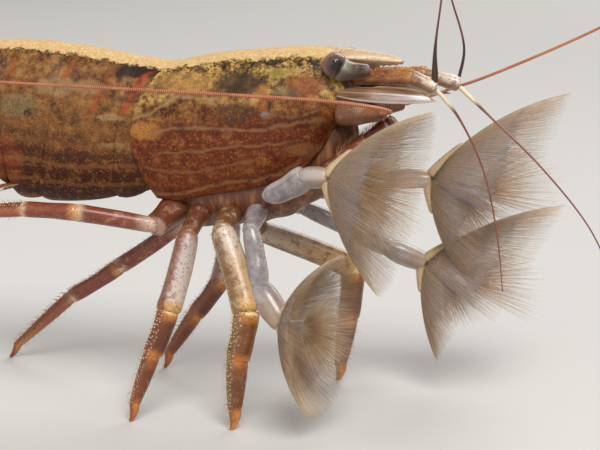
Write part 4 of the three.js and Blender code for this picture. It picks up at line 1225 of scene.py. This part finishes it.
# %% Cuticle of the back shell and abdomen
def cuticle_material(name, levels, lines, blotches, gold, waves):
    material, tree, place, (_, fall, _) = begin(name)
    shake = add(tree, "TexNoise", {"Vector": place, "Scale": 0.7, "Detail": 4.0}, out="Color")
    shake = add(tree, "VectorMath", (shake, (0.5, 0.5, 0.5)), operation="SUBTRACT")
    shaken = add(tree, "VectorMath", (shake, (0.9, 0.9, 0.9), place), operation="MULTIPLY_ADD")
    x, z = [add(tree, "SeparateXYZ", (shaken,), out=axis) for axis in "XZ"]
    clouds = add(tree, "TexNoise", {"Vector": place, "Scale": 0.3, "Detail": 6.0, "Roughness": 0.6})
    mottle = add(tree, "TexNoise", {"Vector": place, "Scale": 0.8, "Detail": 6.0, "Roughness": 0.7})
    grain = add(tree, "TexNoise", {"Vector": place, "Scale": 3.0, "Detail": 3.0, "Roughness": 0.7})
    dots = add(tree, "TexVoronoi", {"Vector": place, "Scale": 3.3}, out="Distance")

    # The ground, by how far below the ridge it lies, with paler and darker clouds. It darkens
    # lower down, partly its own colour and partly painted shade.
    depth = add(tree, "Math", (add(tree, "Math", (clouds, 6.0, -3.0), operation="MULTIPLY_ADD"), fall),
                operation="ADD")
    colour = add(tree, "ValToRGB", (add(tree, "MapRange", (depth, 0, 20, 0, 1)),), ramp=levels)
    colour = lay(tree, colour, "#a8743e", 0.4, add(tree, "MapRange", (mottle, 0.5, 0.66), **SOFT))
    colour = lay(tree, colour, "#2c1208", 0.6, add(tree, "MapRange", (mottle, 0.49, 0.36), **SOFT))

    # Gold, olive and black flecks of the upper shell, thinning out down the flank.
    upper = add(tree, "MapRange", (depth, 3.5, 8.5, gold, 0), **SOFT)
    colour = lay(tree, colour, add(tree, "ValToRGB", (mottle,), ramp=[
        (0.36, "#2a2115"), (0.44, "#5c4526"), (0.52, "#a37a3e"), (0.6, "#b99a58"), (0.7, "#cdb272")]), upper)
    colour = lay(tree, colour, "#191008", 0.9, upper, add(tree, "MapRange", (grain, 0.5, 0.57), **SOFT),
                 add(tree, "MapRange", (depth, 1.5, 5, 1, 0.25), **SOFT))

    # Blotches, and fine dots: dark on the flank, gold in between.
    for px, pz, long, high, strength, shade in blotches:
        colour = lay(tree, colour, shade, strength, blotch(tree, shaken, px, pz, long, high))
    flank = add(tree, "MapRange", (fall, 3, 7), **SOFT)
    colour = lay(tree, colour, "#4c1c0c", 0.6, flank, add(tree, "MapRange", (dots, 0.2, 0.42, 1, 0), **SOFT))
    colour = lay(tree, colour, "#b06a2c", 0.5, flank, add(tree, "MapRange", (grain, 0.54, 0.64), **SOFT))

    # Waves low on the flanks, then the lines: a dark border first, the line itself upon it.
    wave = add(tree, "TexWave", {"Vector": shaken, "Scale": 0.13, "Distortion": 4.5, "Detail": 3.0,
                                 "Detail Scale": 0.5}, bands_direction="Z")
    low = add(tree, "MapRange", (fall, 9, 13, 0, waves), **SOFT)
    colour = lay(tree, colour, "#84582f", 0.4, low, add(tree, "MapRange", (wave, 0.78, 0.97), **SOFT))
    colour = lay(tree, colour, "#32170a", 0.45, low, add(tree, "MapRange", (wave, 0.3, 0.1), **SOFT))
    for way, half_width, strength, shade, points in lines:
        if way == "x":
            colour = lay(tree, colour, "#48190a", 0.45, line(tree, x, z, way, points, half_width * 3.4))
        fades = (0.36, 0.48, 0.35, 1) if way == "x" else (0.42, 0.54, 0.2, 1)
        broken = add(tree, "MapRange", (mottle, *fades), **SOFT)
        colour = lay(tree, colour, shade, strength, line(tree, x, z, way, points, half_width * 1.25), broken)

    # The cream line down the back, its edge uneven and bordered in dark, then a waxy roughness and fine pits.
    edge = add(tree, "Math", (mottle, 2.2, fall), operation="MULTIPLY_ADD")
    colour = lay(tree, colour, "#1d1208", 0.75, add(tree, "MapRange", (edge, 2.3, 2.9, 1, 0), **SOFT),
                 add(tree, "MapRange", (grain, 0.46, 0.52), **SOFT))
    cream = add(tree, "ValToRGB", (grain,), ramp=[(0.3, "#b9925c"), (0.5, "#cfab74"), (0.75, "#e2c79a")])
    colour = lay(tree, colour, cream, add(tree, "MapRange", (edge, 2.05, 2.3, 1, 0), **SOFT))
    wax = add(tree, "MapRange", (grain, 0.2, 0.8, 0.48, 0.64), **SOFT)
    pits = add(tree, "TexNoise", {"Vector": place, "Scale": 4.0, "Detail": 4.0, "Roughness": 0.6})
    finish = {"Specular IOR Level": 0.22, "Coat Weight": 0.03, "Coat Roughness": 0.2}
    return end(material, tree, colour, wax, pits, 0.04, **finish)


shell_skin = cuticle_material("back shell cuticle", SHELL_LEVELS, SHELL_LINES, SHELL_BLOTCHES, 0.95, 0.0)
ring_skin = cuticle_material("abdomen cuticle", RING_LEVELS, RING_LINES, RING_BLOTCHES, 0.25, 1.0)
print("finishes:", shell_skin.name, "and", ring_skin.name)

# %% [markdown]
# Every leg goes through the same bands, from a clear thigh to a gold knee, a brown shin and a rusty
# claw, each darker behind than in front. So one finish reads how far down the limb a place is, and
# takes its colours from a list. The warts are cream. The skin is wet and a little clear: some light
# spreads just below its surface, and a thin coat gives it a small sharp highlight.

# %% Bands of the limbs
WALKING_BANDS = [
    (0, "#5a2e18"), (0.75, "#6b3d24"), (1.02, "#8e6045"), (1.14, "#b5a096"), (1.5, "#bfb0ab"),
    (1.84, "#cdbaa8"), (1.93, "#c98f48"), (2.02, "#e8cd92"), (2.1, "#c07830"), (2.26, "#6a3312"),
    (2.8, "#5a280e"), (2.92, "#b86a24"), (3.02, "#d8944a"), (3.14, "#a05822"), (3.35, "#6a3312"),
    (3.85, "#7c3e16"), (4.0, "#c0742c"), (4.7, "#b05c22"),
]
# The third legs' pale upper length is partly their own colour and partly a painted highlight.
THIRD_BANDS = [
    (0, "#5a2e18"), (0.9, "#7a5238"), (1.03, "#d8c4ae"), (1.2, "#ccb8a4"), (1.5, "#b89870"),
    (1.84, "#c39c66"), (1.93, "#d09c50"), (2.02, "#ecd498"), (2.12, "#c88032"), (2.26, "#7a4818"),
    (2.8, "#6e3c12"), (2.92, "#b86e24"), (3.04, "#cf8432"), (3.2, "#8a4c1a"), (3.4, "#60360f"),
    (3.88, "#6c3a12"), (4.0, "#c0742c"), (4.7, "#c97c34"),
]
HIND_BANDS = [
    (0, "#5c3019"), (0.9, "#6e3c24"), (1.02, "#c3a48c"), (1.1, "#cdb09a"), (1.3, "#84422a"),
    (1.85, "#7c361c"), (1.96, "#dcb98c"), (2.06, "#c98c50"), (2.2, "#7e361c"), (2.85, "#823c20"),
    (2.96, "#dcc098"), (3.1, "#985434"), (3.4, "#904c2c"), (4.0, "#bc7c44"), (4.6, "#a4562e"),
]
SHORT_BANDS = [
    (0, "#8a4a1e"), (0.9, "#804016"), (1.5, "#9a5c26"), (1.95, "#a8783f"), (2.2, "#9c7850"),
    (2.6, "#cbb8a4"), (2.99, "#e2d6c4"),
]
LONG_BANDS = [(0, "#6e3a1c"), (2, "#86532f"), (3, "#8c6244"), (4, "#a07a60"), (4.6, "#a3743e"),
              (5, "#8a4e28")]
CUP_BANDS = [
    (0, "#8c8480"), (0.7, "#6b5c54"), (1.1, "#3a1a0e"), (2, "#41281a"), (2.6, "#6b6858"),
    (3.4, "#8c8b76"), (4.2, "#a8a28c"),
]
SWIM_BANDS = [(0, "#6b3a20"), (0.5, "#7c4a2c"), (1, "#96683f")]
TAIL_BANDS = [(0, "#7d5030"), (0.5, "#855230"), (0.85, "#8f4e2a"), (1, "#bd8a5a")]
print("bands on a walking leg:", len(WALKING_BANDS))

# %% Cuticle of the limbs
def limb_material(name, bands, rear, specks, pale="#a98a72", warts="#f0deb8"):
    material, tree, place, (step, fore, _) = begin(name)
    grain = add(tree, "TexNoise", {"Vector": place, "Scale": 2.0, "Detail": 5.0, "Roughness": 0.7})
    shaken = add(tree, "Math", (add(tree, "Math", (grain, 0.16, -0.08), operation="MULTIPLY_ADD"), step),
                 operation="ADD")
    share = add(tree, "MapRange", (shaken, 0, 5, 0, 1))
    colour = add(tree, "ValToRGB", (share,), ramp=[(at / 5, shade) for at, shade in bands])
    ragged = add(tree, "Math", (grain, 1.4, fore), operation="MULTIPLY_ADD")
    colour = lay(tree, colour, rear, 0.85, add(tree, "MapRange", (ragged, 0.35, 0.9, 1, 0), **SOFT),
                 add(tree, "MapRange", (fore, -0.95, -0.6, 0.55, 1), **SOFT),
                 add(tree, "MapRange", (step, 0.8, 1.1, 0.2, 1), **SOFT))
    dots = add(tree, "TexVoronoi", {"Vector": place, "Scale": 2.6}, out="Distance")
    colour = lay(tree, colour, specks, 0.7, add(tree, "MapRange", (dots, 0.16, 0.34, 1, 0), **SOFT))
    fine = add(tree, "TexVoronoi", {"Vector": place, "Scale": 4.2}, out="Distance")
    colour = lay(tree, colour, "#ecd9b4", 0.6, add(tree, "MapRange", (fine, 0.1, 0.24, 1, 0), **SOFT),
                 add(tree, "MapRange", (grain, 0.5, 0.6), **SOFT))
    cloud = add(tree, "TexNoise", {"Vector": place, "Scale": 0.9, "Detail": 4.0, "Roughness": 0.6})
    colour = lay(tree, colour, "#5a2c16", 0.5, add(tree, "MapRange", (cloud, 0.46, 0.36), **SOFT))
    colour = lay(tree, colour, pale, 0.5, add(tree, "MapRange", (cloud, 0.54, 0.64), **SOFT),
                 add(tree, "MapRange", (step, 1.9, 2.2, 1, 0.2), **SOFT))
    colour = lay(tree, colour, warts, add(tree, "MapRange", (step, WART_LIE - 1.5, WART_LIE - 0.5), **SOFT))
    return end(material, tree, colour, 0.36, grain, 0.04, **{
        "IOR": 1.5, "Coat Weight": 0.25, "Coat Roughness": 0.12, "Subsurface Weight": 0.12,
        "Subsurface Radius": (0.0008, 0.0005, 0.0004)})


leg_skin = limb_material("walking leg cuticle", WALKING_BANDS, "#7c4020", "#7a3116")
third_skin = limb_material("third leg cuticle", THIRD_BANDS, "#7a5634", "#8a5a24", "#c9b298", "#f4dfa0")
hind_skin = limb_material("hind leg cuticle", HIND_BANDS, "#743018", "#701f12", "#b08264")
short_base_skin = limb_material("short feeler base cuticle", SHORT_BANDS, "#8a5a3c", "#5c2a10",
                                "#b98548", "#c98a3c")
cup_skin = limb_material("eye cup cuticle", CUP_BANDS, "#4c443a", "#5e2c14", "#7d786a")
long_base_skin = limb_material("long feeler base cuticle", LONG_BANDS, "#7c4a2c", "#6a3216", "#9c7450")
swim_skin = limb_material("swimming leg cuticle", SWIM_BANDS, "#5c3018", "#5d2412")
tail_skin = limb_material("tail fan cuticle", TAIL_BANDS, "#6a3a20", "#4c1c0c")
print("limb finishes:", [skin.name for skin in (leg_skin, third_skin, hind_skin, cup_skin, tail_skin)])

# %% [markdown]
# The feeding arms are nearly clear, milky inside, with rusty and white grains along their edges.
# Their webs and bristles let the light through too: the webs milky and lilac near the finger,
# both tan at the rim. Painted highlights stand for the light that they catch: gold at every
# bristle's root, a warm band in the web near the finger, and a few bristles, most along the top of
# each sheet, gold or white. Plain see-through colour is used for them, because it also survives
# outside Blender.

# %% Arms, webs and bristles
def arm_material(name, tones, tip, grow=(1, 1, 1), ridge=0.0):
    material, tree, place, (step, fore, _) = begin(name)
    drawn = add(tree, "Mapping", {"Vector": place, "Scale": grow})
    cloud = add(tree, "TexNoise", {"Vector": drawn, "Scale": 0.8, "Detail": 5.0, "Roughness": 0.6})
    colour = add(tree, "ValToRGB", (cloud,), ramp=list(zip((0.36, 0.5, 0.64), tones)))
    colour = lay(tree, colour, tip, 0.8, add(tree, "MapRange", (step, 2.2, 2.9), **SOFT))
    colour = lay(tree, colour, "#ecd0a0", 0.7, add(tree, "MapRange", (step, 2.7, 3.3), **SOFT))
    away = add(tree, "Math", (fore,), operation="ABSOLUTE")
    colour = lay(tree, colour, "#d8cdc2", 0.6, add(tree, "MapRange", (away, 0.75, 0.98), **SOFT))
    colour = lay(tree, colour, "#e6ddd4", ridge, add(tree, "MapRange", (away, 0.16, 0.04), **SOFT))
    dots = add(tree, "TexVoronoi", {"Vector": place, "Scale": 2.0}, out="Distance")
    colour = lay(tree, colour, "#a8602c", 0.85, add(tree, "MapRange", (dots, 0.12, 0.26, 1, 0), **SOFT),
                 add(tree, "MapRange", (cloud, 0.46, 0.56), **SOFT))
    colour = lay(tree, colour, "#f6ead6", add(tree, "MapRange", (step, WART_LIE - 1.5, WART_LIE - 0.5),
                                              **SOFT))
    return end(material, tree, colour, 0.22, cloud, 0.04, **{
        "IOR": 1.45, "Coat Weight": 0.3, "Coat Roughness": 0.08, "Subsurface Weight": 0.4,
        "Subsurface Radius": (0.001, 0.0009, 0.0008), "Transmission Weight": 0.25})


def clear_material(name, alpha, along, single, shine):
    """A see-through skin whose colour changes along a hair and from one hair to the next."""
    material, tree, _, (share, _, each) = begin(name)
    colour = add(tree, "ValToRGB", (share,), ramp=along)
    colour = lay(tree, colour, add(tree, "ValToRGB", (each,), ramp=single), 0.7)
    return end(material, tree, colour, shine, None, **{"Alpha": alpha, "IOR": 1.5})


arm_skin = arm_material("clear arm cuticle", ("#90868a", "#a49a9a", "#bcb2b0"), "#b89a7c")
scale_skin = arm_material("feeler scale cuticle", ("#5e3820", "#7a4e30", "#94704e"), "#b8946c", (0.2, 1, 1),
                          0.35)
# The web's warm band a little way out from the finger is a painted golden glow.
web_skin = clear_material("fan web", 0.26,
                          [(0, "#b0a4a8"), (0.2, "#c2a88c"), (0.5, "#a89ca2"), (1, "#ac9c94")],
                          [(0, "#948a94"), (0.5, "#a89a96"), (1, "#bda68c")], 0.6)
# Painted highlights: gold at each bristle's root, and gold or white for the highest tones, stand for light
# caught on the bristles.
bristle_skin = clear_material("fan bristle", 0.46,
                              [(0, "#f0cd8c"), (0.3, "#dcb278"), (0.6, "#bfa48e"), (1, "#c2b4a8")],
                              [(0, "#9c8474"), (0.3, "#bca898"), (0.5, "#d2b07c"), (0.68, "#f0ac4c"),
                               (0.86, "#fff4e0")], 0.22)
hair_skin = clear_material("limb bristle", 0.9, [(0, "#9c6a3c"), (1, "#c7a070")],
                           [(0, "#8a5a30"), (1, "#e0c79c")], 0.35)
print("see-through finishes:", [skin.name for skin in (arm_skin, web_skin, bristle_skin, hair_skin)])

# %% [markdown]
# A feeler is horn in short rings with a pale seam at every joint. The soft parts below the shell are
# brown and folded from top to bottom. The eye is a clear dome over a lilac-brown ball whose middle
# is black from every side, with a pale cup behind.

# %% Feelers, soft parts and eyes
def feeler_material(name, root, root_length, body, seam):
    material, tree, place, (run, _, _) = begin(name)
    tone = add(tree, "TexNoise", {"Vector": place, "Scale": 0.4, "Detail": 2.0})
    colour = add(tree, "ValToRGB", (tone,), ramp=list(zip((0.35, 0.65), body)))
    ring = add(tree, "Math", (add(tree, "Math", (run, RING_LENGTH), operation="DIVIDE"),), operation="FRACT")
    colour = lay(tree, colour, seam, 0.8, add(tree, "MapRange", (ring, 0.5, 1.0), **SOFT))
    colour = lay(tree, colour, root, add(tree, "MapRange", (run, root_length, root_length + 1.5, 1, 0),
                                         **SOFT))
    return end(material, tree, colour, 0.32, None, **{"IOR": 1.5, "Coat Weight": 0.3})


def flesh_material():
    material, tree, place, _ = begin("soft flesh")
    folds = add(tree, "Mapping", {"Vector": place, "Scale": (1.0, 1.0, 0.22)})
    cloud = add(tree, "TexNoise", {"Vector": folds, "Scale": 0.9, "Detail": 5.0, "Roughness": 0.6})
    colour = add(tree, "ValToRGB", (cloud,), ramp=[(0.34, "#4a2410"), (0.5, "#6a3a20"), (0.64, "#93623c")])
    return end(material, tree, colour, 0.42, cloud, 0.12, **{"IOR": 1.45, "Coat Weight": 0.3})


def beak_material():
    material, tree, place, (_, fall, _) = begin("beak cuticle")
    grain = add(tree, "TexNoise", {"Vector": place, "Scale": 2.6, "Detail": 3.0, "Roughness": 0.7})
    colour = add(tree, "ValToRGB", (grain,), ramp=[(0.3, "#b0906a"), (0.5, "#c6a780"), (0.75, "#d8c0a2")])
    dots = add(tree, "TexVoronoi", {"Vector": place, "Scale": 3.2}, out="Distance")
    low = add(tree, "MapRange", (add(tree, "Math", (grain, 1.2, fall), operation="MULTIPLY_ADD"), 1.7, 2.4),
              **SOFT)
    colour = lay(tree, colour, "#c98a4a", 0.75, low)
    colour = lay(tree, colour, "#5a2c14", 0.75, add(tree, "MapRange", (dots, 0.14, 0.3, 1, 0), **SOFT),
                 add(tree, "MapRange", (fall, 0.3, 1.6, 0.25, 1), **SOFT))
    return end(material, tree, colour, 0.4, grain, 0.03, **{"IOR": 1.52, "Coat Weight": 0.25})


def pupil_material():
    material, tree, _, (ahead, out, up) = begin("eye pigment")
    away = add(tree, "Math", (out,), operation="ABSOLUTE")
    turned = add(tree, "Math", (add(tree, "Math", (ahead, 0.38), operation="MULTIPLY"),
                                add(tree, "Math", (up, 0.04), operation="MULTIPLY")), operation="ADD")
    middle = add(tree, "Math", (away, turned), operation="ADD")
    colour = add(tree, "ValToRGB", (middle,), ramp=[(0.3, "#9c8478"), (0.6, "#74544c"), (0.86, "#553936"),
                                                    (0.95, "#0e0808")])
    return end(material, tree, colour, 0.6, None)


near_whip = feeler_material("dark whip cuticle", "#38190d", 4.0, ("#43180e", "#5e2415"), "#8a4a34")
clear_whip = feeler_material("clear whip cuticle", "#e2cfb0", 2.0, ("#64261a", "#803828"), "#a5705a")
long_whip = feeler_material("long feeler cuticle", "#b06a44", 0.5, ("#8f3f20", "#b05a30"), "#d8a27c")
flesh, beak_skin, pigment = flesh_material(), beak_material(), pupil_material()
dome_parts = begin("eye dome lens")
dome_lens = end(*dome_parts[:2], "#fbf4f2", 0.1, None, **{"IOR": 1.34, "Transmission Weight": 1.0})
print("feeler and eye finishes:",
      [skin.name for skin in (near_whip, clear_whip, long_whip, pigment, dome_lens)])

# %% Dress every piece
dress(shell, shell_skin, "body_shell", "carapace")
dress(beak, beak_skin, "head_shell", "carapace")
dress(head, flesh, "head_shell")
dress(chest, flesh, "body_shell", "chest_underside")
for number, ring in enumerate(rings, 1):
    dress(ring, ring_skin, "body_shell", f"abdomen_{number}")
dress(telson, tail_skin, "body_shell", "telson")
for (name, side), (leaf, surface) in tail_blades.items():
    dress(leaf, tail_skin, "body_shell", f"tail_{name}_{side}")
    dress(fringe(f"tail_fringe_{name}_{side}", surface, (-1, 1), 110, 0.9, 0.45, 1.0), hair_skin, "bristle")
for number, (leaves, comb) in enumerate(swimmers, 1):
    dress(leaves, swim_skin, "leg_shell", f"swimmerets_{number}")
    dress(comb, hair_skin, "bristle")
for name, (upper, lower, brush) in legs.items():
    skin = {"leg3": third_skin, "leg4": leg_skin, "leg5": hind_skin}[name[:4]]
    dress(upper, skin, "leg_shell", f"{name}_upper")
    dress(lower, skin, "leg_shell", f"{name}_lower")
    dress(brush, hair_skin, "bristle")
for name, hand in arms.items():
    dress(hand, arm_skin, "clear_flesh", name)
    for half in ("upper", "lower"):
        dress(fans[name, half][0], bristle_skin, "bristle", f"{name}_fan_{half}")
        dress(fans[name, half][1], web_skin, "bristle", f"{name}_fan_{half}")
for side in SIDES:
    dress(mouth_feet[side][0], hind_skin, "leg_shell", f"mouth_foot_{side}")
    dress(mouth_feet[side][1], hair_skin, "bristle")
    dome, ball, cup = eyes[side]
    dress(dome, dome_lens, "eye", f"eye_{side}")
    dress(ball, pigment, "eye", f"eye_{side}")
    dress(cup, cup_skin, "clear_flesh", f"eyestalk_{side}")
    base, whips = short_feelers[side]
    dress(base, short_base_skin, "head_shell", f"short_feeler_base_{side}")
    for half, lash in whips.items():
        dress(lash, near_whip if half == "upper" else clear_whip, "feeler", f"short_feeler_{half}_{side}")
    base, scale, comb, feeler = long_feelers[side]
    dress(base, long_base_skin, "head_shell", f"long_feeler_base_{side}")
    dress(scale, scale_skin, "head_shell", f"long_feeler_base_{side}")
    dress(comb, hair_skin, "bristle")
    dress(feeler, long_whip, "feeler", f"long_feeler_root_{side}", f"long_feeler_tip_{side}")
print("dressed:", len(PIECES), "pieces")

# %% [markdown]
# A pale floor and large soft lights, as in a studio. The camera looks slightly down from the side.
# The plain view transform keeps the browns as deep as the animal's, where a filmic one greys them.

# %% Floor
bpy.context.scene.view_settings.view_transform = "Standard"
bpy.ops.object.select_all(action="DESELECT")
bpy.ops.mesh.primitive_plane_add(size=4, location=(0, 0, 0))
floor = bpy.context.object
floor.name = "floor"
floor.data.materials.append(end(*begin("pale card")[:2], "#cfccc8", 0.9))
print("floor:", floor.name)

# %% Camera
CAMERA_TARGET = np.array([15.57, 0, 22.74])
CAMERA_DISTANCE, CAMERA_AZIMUTH, CAMERA_ELEVATION = 190, math.radians(15), math.radians(10.2)
PIXELS_PER_MM = 8.2
SENSOR, RENDER_WIDTH = 36.0, 600
back = np.array([math.sin(CAMERA_AZIMUTH) * math.cos(CAMERA_ELEVATION),
                 -math.cos(CAMERA_AZIMUTH) * math.cos(CAMERA_ELEVATION), math.sin(CAMERA_ELEVATION)])


def aim(obj, place, target):
    """Put a light or camera at a place, in the shrimp's millimetres, and turn it to a target."""
    at = Vector(((np.asarray(place, float) + OFFSET) * MM).tolist())
    to = Vector(((np.asarray(target, float) + OFFSET) * MM).tolist())
    obj.location = at
    obj.rotation_euler = (to - at).to_track_quat("-Z", "Y").to_euler()


bpy.ops.object.camera_add()
camera = bpy.context.object
camera.data.sensor_width = SENSOR
camera.data.lens = SENSOR * PIXELS_PER_MM * CAMERA_DISTANCE / RENDER_WIDTH
camera.data.clip_start = 0.005
aim(camera, CAMERA_TARGET + back * CAMERA_DISTANCE, CAMERA_TARGET)
bpy.context.scene.camera = camera
print("camera at", [round(value, 3) for value in camera.location], "m")

# %% Lights
LIGHTS = {  # place in mm, width in mm, power in watts
    "key": ((360, -680, 920), 560, 11.9),
    "fill": ((-480, -800, 240), 880, 2.2),
    "rim": ((480, 1760, 1600), 1600, 28.0),
}
for name, (place, size, power) in LIGHTS.items():
    bpy.ops.object.light_add(type="AREA")
    light = bpy.context.object
    light.name = name
    light.data.size = size * MM
    light.data.energy = power
    aim(light, place, CAMERA_TARGET)

world = bpy.data.worlds.new("studio")
bpy.context.scene.world = world
world.use_nodes = True
sky = world.node_tree.nodes["Background"].inputs
sky["Color"].default_value, sky["Strength"].default_value = linear("#edece9"), 0.4
print("lights:", list(LIGHTS))
